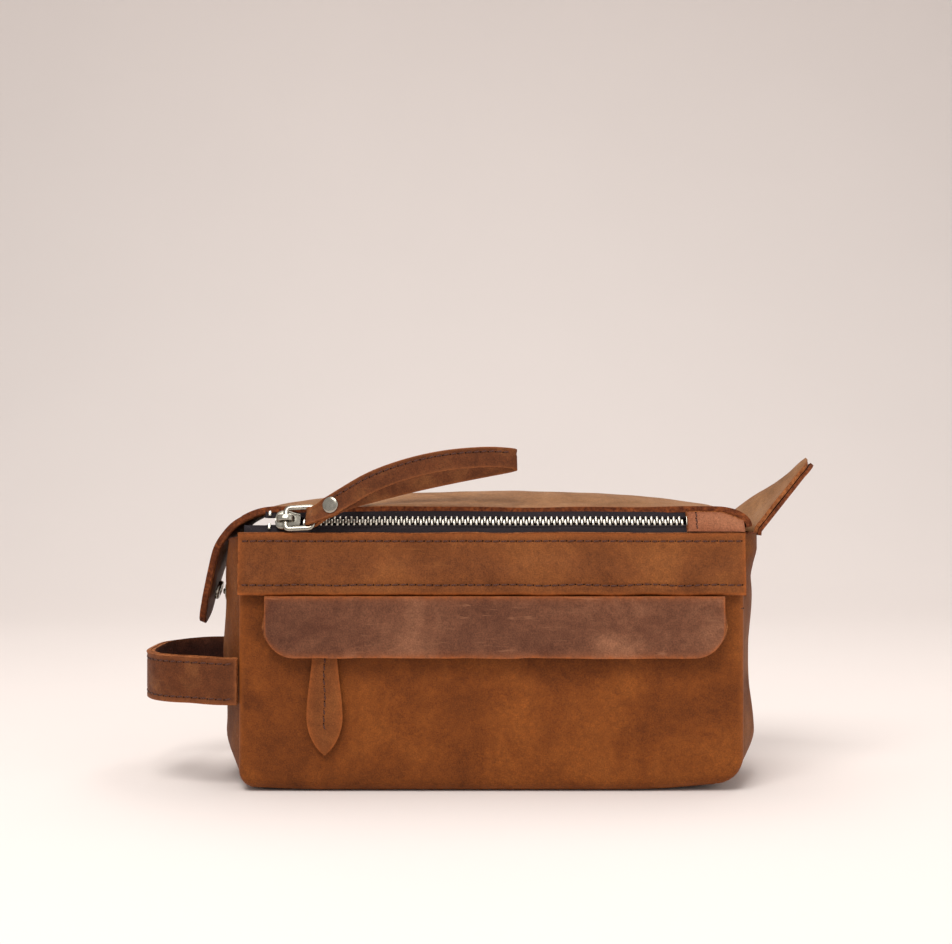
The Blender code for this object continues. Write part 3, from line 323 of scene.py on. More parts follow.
def raw_edge(name, dark, light):
    """A cut leather edge: fibres and orange flecks."""
    f = Finish(name)
    fibres = f.noise(520.0, 6.0, 0.75)
    colour = f.ramp(fibres, (0.36, linear(*dark)), (0.60, linear(*light)))
    blotches = f.ramp(f.noise(120.0, 3.0), (0.4, 0.0), (0.6, 0.5))
    return f.done(f.mix(blotches, colour, linear(*dark)), 0.86, f.bump(fibres, 0.8, 0.0006), 0.2)


def woven(name, dark, light, threads, turn):
    """Cloth with fine diagonal ribs, lint and slight fading."""
    f = Finish(name)
    spun = f.stretched((1.0, 1.0, 1.0), (0.0, radians(turn), 0.0))
    weave = f.mix(0.5, f.wave(spun, threads, "X"), f.wave(spun, threads * 0.8, "Z"), "MULTIPLY")
    colour = f.ramp(weave, (0.15, linear(*dark)), (0.85, linear(*light)))
    lint = f.ramp(f.noise(600.0, 5.0, 0.7), (0.62, 0.0), (0.75, 0.45))
    faded = f.ramp(f.noise(40.0, 3.0), (0.35, 0.0), (0.7, 0.35))
    colour = f.mix(faded, f.mix(lint, colour, linear(120, 112, 108)), linear(*light))
    return f.done(colour, 0.85, f.bump(weave, 0.55, 0.0004), 0.25)


def metal(name, colour, rough):
    """Nickel plate with smudges and hairline scratches."""
    f = Finish(name)
    smudge = f.noise(240.0, 5.0)
    hair = f.noise(1.0, 3.0, place=f.stretched((90.0, 900.0, 900.0), (0.2, 0.3, 0.1)))
    tone = f.ramp(smudge, (0.35, darker(colour, 0.8)), (0.65, colour))
    finish = f.ramp(smudge, (0.3, rough), (0.75, rough + 0.2))
    return f.done(tone, finish, f.bump(hair, 0.12, 0.0002), others={"Metallic": 1.0})


def thread(name, dark, light):
    f = Finish(name)
    twist = f.wave(f.place, 620.0, "DIAGONAL", 1.0)
    colour = f.ramp(twist, (0.2, linear(*dark)), (0.8, linear(*light)))
    return f.done(colour, 0.7, f.bump(twist, 0.5, 0.0002))


def paper(name, colour):
    f = Finish(name)
    return f.done(f.ramp(f.noise(3.0, 2.0), (0.3, darker(colour, 0.985)), (0.7, colour)), 0.9, gloss=0.1)


BODY = leather("body_leather", (86, 41, 8), (112, 57, 14), (134, 73, 23), (150, 82, 30))
SIDE = leather("side_leather", (82, 39, 8), (106, 55, 14), (134, 79, 28), (76, 35, 10))
BAND = leather("band_leather", (92, 48, 18), (113, 62, 26), (134, 79, 36), (158, 84, 34), scratch=0.5)
FLAP = leather("flap_leather", (80, 45, 30), (104, 64, 44), (138, 92, 66), (172, 92, 40),
               scratch=0.95, rough=0.55, cloudy=30.0)
TOP = leather("lid_leather", (108, 72, 40), (132, 91, 56), (154, 112, 74), (120, 68, 34),
              scratch=0.5, rough=0.6)
STRAP = leather("strap_leather", (76, 38, 16), (95, 50, 23), (122, 74, 38), (140, 80, 42),
                scratch=0.6, cloudy=55.0)
FLESH = leather("flesh_side", (34, 15, 10), (52, 25, 16), (74, 40, 27), (100, 56, 34),
                scratch=0.3, rough=0.85, cloudy=90.0, grain=1.0)
PATCH = leather("patch_leather", (116, 66, 40), (137, 82, 54), (152, 98, 68), (116, 62, 36), scratch=0.4)
CUT = raw_edge("cut_edge", (70, 30, 13), (142, 76, 38))
CUT_PALE = raw_edge("pale_cut_edge", (96, 48, 22), (172, 106, 58))
TAPE = woven("zip_tape_cloth", (22, 19, 23), (56, 48, 52), 900.0, 45.0)
CLOTH = woven("lining_twill", (92, 80, 64), (142, 126, 104), 520.0, 35.0)
NICKEL = metal("nickel", (0.42, 0.395, 0.335, 1.0), 0.17)
TEETH = metal("teeth_nickel", (0.74, 0.69, 0.6, 1.0), 0.28)
THREAD = thread("waxed_thread", (50, 22, 12), (92, 46, 26))
# Painted shade: a near-black finish for the needle holes, standing for the shadow inside them.
HOLE_SHADE = raw_edge("painted_hole_shade", (14, 7, 5), (36, 17, 10))


# ---- mesh tools ----


def place(obj, how, replaced=(), slot=None):
    """how is a body's name, to which the piece is attached, or (first body, second body, start, end) in
    millimetres, which is not used: the piece then only has its transform baked in.
    """
    if replaced:
        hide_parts(*replaced)
    if isinstance(how, str):
        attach(obj, how)
    else:
        first, second, start, end = how
        Vector(start) * MM
        Vector(end) * MM
        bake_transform(obj)
    return obj


def linked_mesh(name, shape, finishes):
    mesh = bpy.data.meshes.new(name)
    shape.to_mesh(mesh)
    shape.free()
    for finish in finishes:
        mesh.materials.append(finish)
    mesh.shade_smooth()
    obj = bpy.data.objects.new(name, mesh)
    bpy.context.scene.collection.objects.link(obj)
    return obj


def made_object(name, shape, finishes, how, replaced=(), slot=None, sharp=48.0):
    bmesh.ops.recalc_face_normals(shape, faces=shape.faces[:])
    if shape.calc_volume(signed=True) < 0.0:
        bmesh.ops.reverse_faces(shape, faces=shape.faces[:])
    bmesh.ops.scale(shape, vec=(MM, MM, MM), verts=shape.verts[:])
    obj = linked_mesh(name, shape, finishes)
    obj.data.set_sharp_from_angle(angle=radians(sharp))
    return place(obj, how, replaced, slot)


def bridge(shape, first, second, finish_of=lambda k: 0):
    """Faces all the way round between two rings of corners."""
    count = len(first)
    for k in range(count):
        after = (k + 1) % count
        face = shape.faces.new((first[k], first[after], second[after], second[k]))
        face.material_index = finish_of(k)


def grid_normal(grid, i, j):
    row = grid[i]
    across = row[min(j + 1, len(row) - 1)] - row[max(j - 1, 0)]
    along = grid[min(i + 1, len(grid) - 1)][j] - grid[max(i - 1, 0)][j]
    return across.cross(along).normalized()


def edge_distances(grid):
    """How far each point is from the sheet's nearest edge, along the grid's lines."""
    rows = range(len(grid))
    columns = range(len(grid[0]))
    far = [[1e9 for _ in columns] for _ in rows]
    for line in [[(i, j) for j in columns] for i in rows] + [[(i, j) for i in rows] for j in columns]:
        for order in (line, line[::-1]):
            run = 0.0
            last = grid[order[0][0]][order[0][1]]
            for i, j in order:
                run += (grid[i][j] - last).length
                far[i][j] = min(far[i][j], run)
                last = grid[i][j]
    return far


def skin(name, grid, thick, finishes, how, replaced=(), slot=None, missing=None, flip=False, bevel=0.45,
         worn=1.6, plump=None, rubbed=None):
    """A leather sheet: grid is its face, its flesh side lies behind it, and its cut edges are rounded.

    finishes are the face's, the cut edge's and the flesh side's materials. plump gives the extra
    thickness for a distance from the edge, and rubbed the extra wear at a point."""
    rows = len(grid) - 1
    columns = len(grid[0]) - 1
    sign = -1.0 if flip else 1.0
    far = edge_distances(grid)
    shape = bmesh.new()
    wear = shape.verts.layers.float.new("wear")
    face = {}
    back = {}
    for i, line in enumerate(grid):
        for j, here in enumerate(line):
            depth = thick + (plump(far[i][j]) if plump else 0.0)
            fade = exp(-far[i][j] / worn) * 0.8
            face[i, j] = shape.verts.new(here)
            back[i, j] = shape.verts.new(here - grid_normal(grid, i, j) * sign * depth)
            face[i, j][wear] = fade + (rubbed(here) if rubbed else 0.0)
            back[i, j][wear] = fade

    def present(i, j):
        return 0 <= i < rows and 0 <= j < columns and not (missing and missing(i, j))

    rims = []
    for i, j in [(i, j) for i in range(rows) for j in range(columns) if present(i, j)]:
        ring = [(i, j), (i, j + 1), (i + 1, j + 1), (i + 1, j)]
        shape.faces.new([face[spot] for spot in ring])
        shape.faces.new([back[ring[-k]] for k in range(4)]).material_index = 2
        for k, beyond in enumerate(((i - 1, j), (i, j + 1), (i + 1, j), (i, j - 1))):
            if not present(*beyond):
                a, b = ring[k], ring[(k + 1) % 4]
                shape.faces.new((face[a], face[b], back[b], back[a])).material_index = 1
                rims += [(face[a], face[b]), (back[b], back[a])]
    bmesh.ops.delete(shape, geom=[v for v in shape.verts if not v.link_faces], context="VERTS")
    edges = [e for e in (shape.edges.get(pair) for pair in rims) if e]
    bmesh.ops.bevel(shape, geom=edges, offset=min(bevel, thick * 0.35), segments=2, profile=0.6,
                    affect="EDGES", clamp_overlap=True, material=1)
    return made_object(name, shape, finishes, how, replaced, slot)


def loft(name, rings, finishes, how, replaced=(), slot="zip_metal", closed=False, finish_of=lambda k: 0,
         sharp=48.0, wear_of=None):
    """A closed body through rings of points, with end caps unless the rings go round."""
    shape = bmesh.new()
    wear = shape.verts.layers.float.new("wear")
    made = [[shape.verts.new(p) for p in ring] for ring in rings]
    for ring in made:
        for k, corner in enumerate(ring):
            corner[wear] = wear_of(k) if wear_of else 0.0
    for first, second in zip(made, made[1:] + made[:1] if closed else made[1:]):
        bridge(shape, first, second, finish_of)
    if not closed:
        shape.faces.new(made[0])
        shape.faces.new(made[-1])
    return made_object(name, shape, finishes, how, replaced, slot, sharp)


def turned(name, profile, centre, axis, how, replaced, sides=48):
    """A nickel piece turned round an axis; profile is a list of (radius, height)."""
    turn = UP.rotation_difference(axis).to_matrix()
    shape = bmesh.new()
    rings = []
    for radius, height in profile:
        spots = circle(sides) if radius else [(0.0, 0.0)]
        rings.append([shape.verts.new(centre + turn @ vec(radius * c, radius * s, height))
                      for c, s in spots])
    for first, second in zip(rings, rings[1:]):
        for k in range(sides):
            corners = [first[k % len(first)], first[(k + 1) % len(first)]]
            corners += [second[(k + 1) % len(second)], second[k % len(second)]]
            shape.faces.new(list(dict.fromkeys(corners)))
    return made_object(name, shape, [NICKEL], how, replaced, "zip_metal")


def smooth_curve(points, count):
    """Evenly shared points of a Catmull-Rom curve through the given points."""
    points = [Vector(p) for p in points]
    result = []
    last = len(points) - 1
    for position in spread(0.0, last, count):
        index = min(int(position), last - 1)
        t = position - index
        before, start, end, after = (points[min(max(index + k, 0), last)] for k in (-1, 0, 1, 2))
        value = 2.0 * start + (end - before) * t
        value += (2.0 * before - 5.0 * start + 4.0 * end - after) * t * t
        value += (3.0 * start - 3.0 * end + after - before) * t ** 3
        result.append(value * 0.5)
    return result


def bent(before, here, after, steps):
    """Points round a corner, from before to after, along a parabola."""
    return [before * (1 - t) ** 2 + here * 2 * t * (1 - t) + after * t * t for t in spread(0.0, 1.0, steps)]


def rounded_profile(points, radius):
    """The outline with each corner cut by a small round."""
    result = []
    for k, here in enumerate(points):
        before = points[k - 1]
        after = points[(k + 1) % len(points)]
        cut = min(radius, (here - before).length * 0.45, (after - here).length * 0.45)
        result += bent(here + (before - here).normalized() * cut, here,
                       here + (after - here).normalized() * cut, 3)
    return result


# ---- stitches ----


def stitch_mesh(shape, centre, along, out, length):
    """One stitch: a thread that is full in the middle and dips into its holes."""
    side = out.cross(along).normalized()
    rings = []
    for reach, swell in ((-0.5, 0.35), (-0.40, 0.85), (-0.15, 1.0), (0.15, 1.0), (0.40, 0.85), (0.5, 0.35)):
        ring = []
        for c, s in circle(8):
            offset = side * c * STITCH_WIDTH * 0.5 * swell
            offset += out * (s * STITCH_HEIGHT * swell - 0.25 * (1.0 - swell))
            ring.append(shape.verts.new(centre + along * reach * length + offset))
        rings.append(ring)
    for first, second in zip(rings, rings[1:]):
        bridge(shape, first, second)
    shape.faces.new(rings[0])
    shape.faces.new(rings[-1])


def painted_hole_shade(shape, centre, along, out):
    """A dark dimple at the end of a stitch, as painted shade: a small near-black cone that stands for the
    shadow inside the needle hole.
    """
    side = out.cross(along).normalized()
    top = shape.verts.new(centre + out * 0.16)
    low = shape.verts.new(centre - out * 0.5)
    ring = [shape.verts.new(centre + (side * c + along * s) * 0.42) for c, s in circle(8)]
    for here, after in zip(ring, ring[1:] + ring[:1]):
        shape.faces.new((here, after, top)).material_index = 1
        shape.faces.new((after, here, low)).material_index = 1


def stitches(name, rows, how, pitch=STITCH_PITCH, lean=8.0):
    """Rows of thread along lines, with painted shade at each needle hole; each row is a list of (point,
    outward direction).
    """
    shape = bmesh.new()
    for row in rows:
        lengths = [0.0]
        for (a, _), (b, _) in zip(row, row[1:]):
            lengths.append(lengths[-1] + (b - a).length)
        count = max(int(lengths[-1] / pitch), 1)
        step = lengths[-1] / count
        index = 0
        for k in range(count):
            target = (k + 0.5) * step
            while index < len(row) - 2 and lengths[index + 1] < target:
                index += 1
            (a, out_a), (b, out_b) = row[index], row[index + 1]
            t = (target - lengths[index]) / max(lengths[index + 1] - lengths[index], 1e-6)
            out = (out_a * (1.0 - t) + out_b * t).normalized()
            along = (b - a).normalized()
            uneven = noise.noise(vec(target * 3.1, lengths[-1], k * 0.7))
            along = Matrix.Rotation(radians(lean + 5.0 * uneven), 3, out) @ along
            centre = a.lerp(b, t) + out * 0.05
            stitch_mesh(shape, centre, along, out, step * (0.70 + 0.06 * uneven))
            # painted shade for the needle hole after each stitch
            painted_hole_shade(shape, centre + along * step * 0.47, along, out)
    return made_object(name, shape, [THREAD, HOLE_SHADE], how, sharp=180.0)


# ---- body panels ----


def bottom_drop(z):
    return arc_drop(BOTTOM_RADIUS - z, BOTTOM_RADIUS)


def corner_drop(side, z):
    radius = CORNER_LEFT if side < 0 else CORNER_RIGHT
    return arc_drop(radius - z, radius)


def panel_point(face, share, z):
    left = -HALF_LENGTH + corner_drop(-1, z)
    right = HALF_LENGTH - corner_drop(1, z)
    x = left + share * (right - left)
    near_edge = SEAM_ROUND - min(x - left, right - x)
    turn = arc_drop(near_edge, SEAM_ROUND) * (1.0 - bottom_drop(z) / BOTTOM_RADIUS)
    return vec(x, face * (HALF_DEPTH - (bottom_drop(z) + turn)), z)


def gusset_out(side, y_share, z):
    foot = sin(0.5 * pi * min(z / 26.0, 1.0))
    top = ease(z, 100.0, GUSSET_TOP_RIGHT)
    height = GUSSET_BULGE * foot * (1.0 - top) + GUSSET_TOP_BULGE * top
    power = 2.0 + 4.0 * top
    return HALF_LENGTH - corner_drop(side, z) + height * (1.0 - abs(y_share) ** power)


def gusset_half(z):
    turned_back = (SEAM_ROUND + LEATHER) * (1.0 - bottom_drop(z) / BOTTOM_RADIUS)
    return HALF_DEPTH - bottom_drop(z) - turned_back - GAP


def panel_wave(face, x, z):
    """How far a big panel bellies out (positive) or sinks, in millimetres."""
    wave = 0.9 * ripple(x, z, 62.0, face) + 0.35 * ripple(x, z, 21.0, face + 3.0)
    wave += 0.5 * exp(-((x / 90.0) ** 2 + ((z - 30.0) / 26.0) ** 2))
    if face < 0:
        under_pull = exp(-(((x - POCKET_SLIDER_X) / 34.0) ** 4)) * ease(80.0 - z, 0.0, 10.0)
        wave = wave * (1.0 - under_pull) - 0.2 * under_pull
        wave = 0.75 * tanh(wave / 0.75) - 0.5 * ease(z, 84.0, 98.0)
    return wave * ease(z, 4.0, 22.0) * ease(HALF_LENGTH - abs(x), 1.0, 16.0)


def settle(point):
    """The bag's bottom rises a little toward both ends, more at the right."""
    reach = ease(point.x, 62.0, 127.0) ** 1.4 * 3.4 + ease(-point.x, 80.0, 127.0) ** 1.4 * 1.3
    return point + vec(0.0, 0.0, reach * (1.0 - ease(point.z, 0.0, 42.0)))


def round_rows(radius, top, count):
    turn = [radius * (1.0 - cos(0.5 * pi * k / 9)) for k in range(9)]
    return [0.0] + [z for z in turn if z > 0.5] + spread(radius, top, count)


def column_shares(count, extra=()):
    edge = SEAM_ROUND / (2.0 * HALF_LENGTH)
    turn = [0.0] + [edge * (1.0 - cos(0.5 * pi * k / 6)) for k in range(2, 6)]
    middle = sorted(spread(edge * 1.3, 1.0 - edge * 1.3, count) + list(extra))
    return turn + [edge] + middle + [1.0 - edge] + [1.0 - s for s in reversed(turn)]


def body_panel(name, face, top, count, replaced, window_rows=()):
    window = [0.5 + s * POCKET_WINDOW_HALF / (2.0 * HALF_LENGTH) for s in (-1.0, 1.0)] if face < 0 else []
    shares = column_shares(count, window)
    heights = sorted(set(round_rows(BOTTOM_RADIUS, top, 46) + list(window_rows)))

    def point(z, share):
        spot = panel_point(face, share, z)
        return settle(spot + vec(0.0, face * panel_wave(face, spot.x, z), 0.0))

    def missing(i, j):
        middle_z = 0.5 * (heights[i] + heights[i + 1])
        middle = 0.5 * (shares[j] + shares[j + 1])
        return window_rows and window_rows[0] < middle_z < window_rows[1] and window[0] < middle < window[1]

    skin(name, sheet(point, heights, shares), LEATHER, [BODY, CUT, FLESH], "bag", [replaced], "leather_tan",
         missing, flip=face > 0,
         rubbed=lambda spot: 0.55 * groove(HALF_LENGTH - abs(spot.x) - 0.9, 1.5) * ease(spot.z, 10.0, 34.0))


def gusset_slack(side, z):
    """The left end is fuller in the middle; the right end sinks in under its stiff hem."""
    if side < 0:
        return 1.2 * ease(z, 30.0, 60.0) * (1.0 - ease(z, 80.0, 100.0))
    return 2.6 * ease(z, 112.0, 123.0) - 3.0 * ease(z, 20.0, 60.0) * (1.0 - ease(z, 104.0, 118.0))


def gusset(name, side, replaced):
    calm_from = 80.0 if side < 0 else 95.0

    def point(z, share):
        across = 2.0 * share - 1.0
        level = z
        if z is None:
            dip = GUSSET_TOP_DIP * (1.0 - across * across)
            level = GUSSET_TOP_RIGHT if side > 0 else GUSSET_TOP_LEFT - dip
        wave = 1.1 * ripple(across * 40.0, level, 34.0, side + 9.0)
        wave += 0.8 * ripple(across * 40.0, level * 0.35, 11.0, side + 5.0) * ease(level, 4.0, 30.0)
        wave *= (1.0 - across * across) * (1.0 - 0.9 * ease(level, calm_from, 118.0))
        wave += gusset_slack(side, level) * (1.0 - across ** 4)
        out = gusset_out(side, across, level) + wave
        return settle(vec(side * out, across * gusset_half(level), level))

    radius = CORNER_LEFT if side < 0 else CORNER_RIGHT
    heights = round_rows(radius, 100.0, 30) + spread(102.5, 119.0, 8) + [None]
    grid = sheet(point, heights, graded(0.0, 1.0, 34, (0.012, 0.03, 0.05)))
    skin(name, grid, LEATHER, [SIDE, CUT, FLESH], "bag", [replaced], "leather_tan", flip=side < 0)
    if side > 0:
        knots = [[(vec(HALF_LENGTH - reach, -HALF_DEPTH + drop, z), vec(0.7, -0.7, 0.0))
                  for reach, drop in ((2.4, 0.4), (0.2, 2.6))] for z in (110.3, 90.6)]
        stitches("seam_knots", knots, "bag", lean=0.0)


def base():
    left = -HALF_LENGTH + CORNER_LEFT + GAP
    right = HALF_LENGTH - CORNER_RIGHT - GAP
    half = HALF_DEPTH - BOTTOM_RADIUS - GAP

    def point(y, x):
        inside = ease(min(x - left, right - x, half - abs(y)), 2.0, 14.0)
        return settle(vec(x, y, 0.25 * inside * (1.0 + ripple(x, y, 26.0, 2.0))))

    skin("base_leather", sheet(point, graded(-half, half, 20), graded(left, right, 50)), LEATHER,
         [SIDE, CUT, FLESH], "bag", ["base_panel"], "leather_tan", flip=True)


def lining_ring(z, depth):
    depth += 4.0 * (1.0 - ease(z, 3.0, 16.0))
    front = -35.0 + depth
    back = HALF_DEPTH - bottom_drop(z) - 3.6 - depth
    ring = []
    for side in (1, -1):
        corner = HALF_LENGTH - corner_drop(side, z)
        ends = []
        for y in spread(front, front + 0.86 * (back - front), 12):
            out = gusset_out(side, y / gusset_half(z), z) - 3.6 - depth
            ends.append(vec(side * out, y, z))
        ends += [vec(side * (corner - 9.0), back - 1.0, z), vec(side * (corner - 14.0), back, z)]
        if side > 0:
            ring += ends + [vec(x, back, z) for x in reversed(spread(-(corner - 20.0), corner - 20.0, 24))]
        else:
            ring += ends[::-1] + [vec(x, front, z) for x in spread(-(corner - 8.0), corner - 8.0, 24)]
    return ring


def lining():
    """The cloth bag hung inside, slightly slack."""
    heights = spread(3.4, 16.0, 5) + spread(20.0, 112.5, 26)
    shape = bmesh.new()
    rims = []
    for depth in (0.0, 0.8):
        rings = []
        for z in heights:
            ring = []
            level = z + (depth if z == heights[0] else 0.0)
            for point in lining_ring(z, depth):
                slack = 0.9 * ripple(point.x + point.y, z, 19.0, 4.0) + 0.5 * ripple(point.x, z, 8.0, 6.0)
                inward = vec(-point.x, -point.y * 2.2, 0.0).normalized()
                soft = point + inward * (1.2 + 1.3 * slack) * ease(z, 6.0, 24.0)
                ring.append(shape.verts.new(settle(vec(soft.x, soft.y, level))))
            rings.append(ring)
        for low, high in zip(rings, rings[1:]):
            bridge(shape, low, high)
        shape.faces.new(rings[0])
        rims.append(rings[-1])
    bridge(shape, *rims)
    made_object("lining_cloth_bag", shape, [CLOTH], "bag", ["lining_bag"], "lining_cloth")


# ---- band, flap and teardrop ----

def band_section():
    """The band's face from behind the fold, round under it, and up to the raw top edge."""
    back = BAND_FACE - 1.9
    front = BAND_FACE - HEM_OUT
    middle = (back + front) * 0.5
    radius = (back - front) * 0.5
    bottom = BAND_BOTTOM + radius
    section = [vec(back, z) for z in spread(106.0, bottom, 6)]
    section += [vec(middle + radius * cos(pi * k / 8.0), bottom - radius * sin(pi * k / 8.0))
                for k in range(1, 8)]
    for z in spread(bottom, FRONT_HEIGHT, 46):
        rise = ease(z, HEM_TOP - 5.0, HEM_TOP + 15.0)
        section.append(vec(front + (HEM_OUT - LEATHER - 0.1) * rise, z))
    return section


def band_point(profile, x):
    y, z = profile
    edge = ease(HALF_LENGTH - 0.2 - abs(x), 0.0, 5.0)
    for stitch_z in BAND_ROWS:
        y += 0.34 * groove(z - stitch_z, 0.8)
        y += 0.10 * groove(z - stitch_z, 1.6) * cos(tau * x / STITCH_PITCH)
    y -= 0.30 * ripple(x, z, 30.0, 1.0) * edge + 0.18 * ripple(x, z, 9.0, 2.0)
    y += 1.5 * (1.0 - edge) * ease(z, 97.0, 99.0)
    hem = 1.0 - ease(z, HEM_TOP - 3.0, HEM_TOP + 2.0)
    z += 0.35 * ripple(x, 0.0, 17.0, 8.0) * hem + 0.30 * ripple(x, 3.0, 24.0, 9.0) * ease(z, 122.0, 128.0)
    return vec(x, y, z)


def top_band():
    half = HALF_LENGTH - 0.2
    section = band_section()
    grid = sheet(band_point, section, graded(-half, half, 260, (0.4, 1.0, 1.8)))
    skin("top_band_leather", grid, 1.75, [BAND, CUT_PALE, FLESH], "bag", ["top_band"], "leather_brown",
         rubbed=lambda spot: 0.9 * groove(spot.z - BAND_BOTTOM - 0.2, 1.1))
    rows = []
    for stitch_z in BAND_ROWS:
        y = min(section[14:], key=lambda p: abs(p.y - stitch_z)).x
        rows.append([(band_point((y, stitch_z), x) - vec(0.0, 0.1, 0.0), FORWARD)
                     for x in spread(-half + 1.5, half - 1.5, 320)])
    stitches("top_band_stitches", rows, "bag", lean=3.0)


def flap_bottom(x):
    from_end = min(x - FLAP_LEFT, FLAP_RIGHT - x)
    edge = FLAP_BOTTOM + arc_drop(FLAP_CORNER - from_end, FLAP_CORNER)
    wavy = 0.45 * ripple(x, 0.0, 33.0, 11.0) + 0.25 * ripple(x, 0.0, 12.0, 12.0)
    return edge + wavy * ease(from_end, 6.0, 20.0)


def storm_flap():
    corner = [0.0] + [FLAP_CORNER * (1.0 - cos(0.5 * pi * k / 14)) for k in range(3, 14)]
    xs = [FLAP_LEFT + c for c in corner] + spread(FLAP_LEFT + FLAP_CORNER, FLAP_RIGHT - FLAP_CORNER, 150)
    xs += [FLAP_RIGHT - c for c in reversed(corner)]

    def point(share, x):
        z = FLAP_TOP + share * (flap_bottom(x) - FLAP_TOP)
        curl = 0.9 * share ** 3 + 0.5 * ripple(x, 0.0, 46.0, 13.0) * share
        fine = 0.16 * ripple(x, z, 13.0, 14.0)
        return vec(x, FLAP_OUTER_Y - max(curl, -0.1) - fine * ease(share, 0.0, 0.2), z)

    grid = sheet(point, graded(0.0, 1.0, 22, (0.02, 0.05, 0.08)), xs)
    skin("storm_flap_leather", grid[::-1], FLAP_THICK, [FLAP, CUT_PALE, FLESH], "storm_flap", ["storm_flap"],
         "leather_brown", worn=1.1)


def pull_half_width(z):
    if z > PULL_BELLY_Z:
        share = min((z - PULL_BELLY_Z) / (PULL_TOP - PULL_BELLY_Z) * 1.1, 1.0)
        swell = 0.5 + 0.5 * cos(pi * share)
        return 0.5 * (PULL_NECK + (PULL_WIDEST - PULL_NECK) * swell)
    share = (PULL_BELLY_Z - z) / (PULL_BELLY_Z - PULL_TIP)
    return max(0.5 * PULL_WIDEST * max(0.0, 1.0 - share ** 1.9) ** 0.78, 0.7)


def teardrop():
    reach = PULL_BELLY_Z - PULL_TIP
    heights = [PULL_TIP + reach * (1.0 - cos(0.5 * pi * k / 16)) for k in range(16)]
    heights += spread(PULL_BELLY_Z, PULL_TOP, 30)
    steps = (0.05, 0.16, 0.35, 0.6, 0.84, 0.94, 1.0)
    shares = [-s for s in reversed(steps)] + list(steps)
    for name, y, layer, finish, front in (
        ("pocket_pull_front", PULL_FACE, 0.95, BAND, 1.0),
        ("pocket_pull_back", PULL_FACE + 0.99, 0.75, SIDE, 0.0),
    ):
        def point(z, s):
            across = s * pull_half_width(z)
            shaped = 0.4 * groove(across, 0.9) * ease(z, 26.0, 32.0) - 0.35 * (1.0 - s * s)
            wave = 0.15 * ripple(across, z, 9.0, 15.0)
            return vec(POCKET_SLIDER_X + across, y + front * shaped - wave, z)

        skin(name + "_leather", sheet(point, heights, shares), layer, [finish, CUT_PALE, FLESH],
             "pocket_pull", [name], "leather_brown", bevel=0.3, worn=1.3)
    row = [(vec(POCKET_SLIDER_X + 0.3 * sin(z * 0.3), PULL_FACE, z), FORWARD) for z in spread(31.0, 74.5, 40)]
    stitches("pocket_pull_stitches", [row], "pocket_pull", pitch=3.4)


# ---- lid, tongue and ear ----


def left_shoulder_share(x):
    return max(0.0, -x - LID_LEFT_SHOULDER) / (-LID_LEFT_CREASE_X - LID_LEFT_SHOULDER)


def lid_end_fall(x):
    if x > LID_RIGHT_SHOULDER:
        share = min((x - LID_RIGHT_SHOULDER) / (LID_RIGHT_END_X - LID_RIGHT_SHOULDER), 1.0)
        return (LID_EDGE_Z - LID_RIGHT_END_Z) * (1.0 - sqrt(1.0 - share * share))
    return (LID_EDGE_Z - LID_LEFT_CREASE_Z) * left_shoulder_share(x) ** 2


def lid_point(x, share):
    """A point of the lid's outer face, share from 0 (front edge) to 1 (hinge)."""
    edge = LID_EDGE_Z - lid_end_fall(x)
    rear_fall = max(0.0, edge - LID_REAR_Z) * (1.0 - sqrt(max(0.0, 1.0 - share ** 6)))
    rear_fall *= 1.0 - left_shoulder_share(x) ** 2
    y = LID_FRONT_Y + share * (LID_REAR_Y - LID_FRONT_Y)
    dome = LID_DOME * max(0.0, 1.0 - abs(x / LID_DOME_REACH) ** 4) ** 1.5
    return vec(x, y, edge - rear_fall + dome * 4.0 * share * (1.0 - share))


def crease_trim(x, share):
    amount = left_shoulder_share(x) ** 2
    depth = LID_REAR_Y - LID_FRONT_Y
    low = (-TONGUE_BASE_HALF - LID_FRONT_Y) / depth * amount
    high = 1.0 - (LID_REAR_Y - TONGUE_BASE_HALF) / depth * amount
    return low + share * (high - low)


def tongue_angle(along):
    share = min(along / TONGUE_BEND, 1.0)
    return TONGUE_START_ANGLE + (TONGUE_END_ANGLE - TONGUE_START_ANGLE) * share


def tongue_place(along, depth=0.0):
    steps = 24
    x = LID_LEFT_CREASE_X - 0.1
    z = LID_LEFT_CREASE_Z
    for k in range(steps):
        angle = tongue_angle((k + 0.5) / steps * along)
        x -= cos(angle) * along / steps
        z += sin(angle) * along / steps
    angle = tongue_angle(along)
    return vec(x, 0.0, z) - vec(sin(angle), 0.0, cos(angle)) * depth


def taper_half(along, length, base, tip):
    share = 1.0 - (length - along) / tip
    if share <= 0.0:
        return base + (tip - base) * clamp(along / (length - tip))
    return max(tip * sqrt(max(0.0, 1.0 - share * share)), 0.5)


def tip_rows(start, length, tip, count):
    turn = [length - tip + tip * sin(0.5 * pi * k / 10) for k in range(1, 11)]
    return spread(start, length - tip, count) + turn


def lid_wave(x, y):
    wave = 0.7 * ripple(x, y, 48.0, 20.0) + 0.28 * ripple(x, y, 15.0, 21.0)
    return wave * ease(min(129.5 - x, y + 41.6, 60.0), 0.0, 16.0) * ease(47.3 - y, 0.0, 14.0)


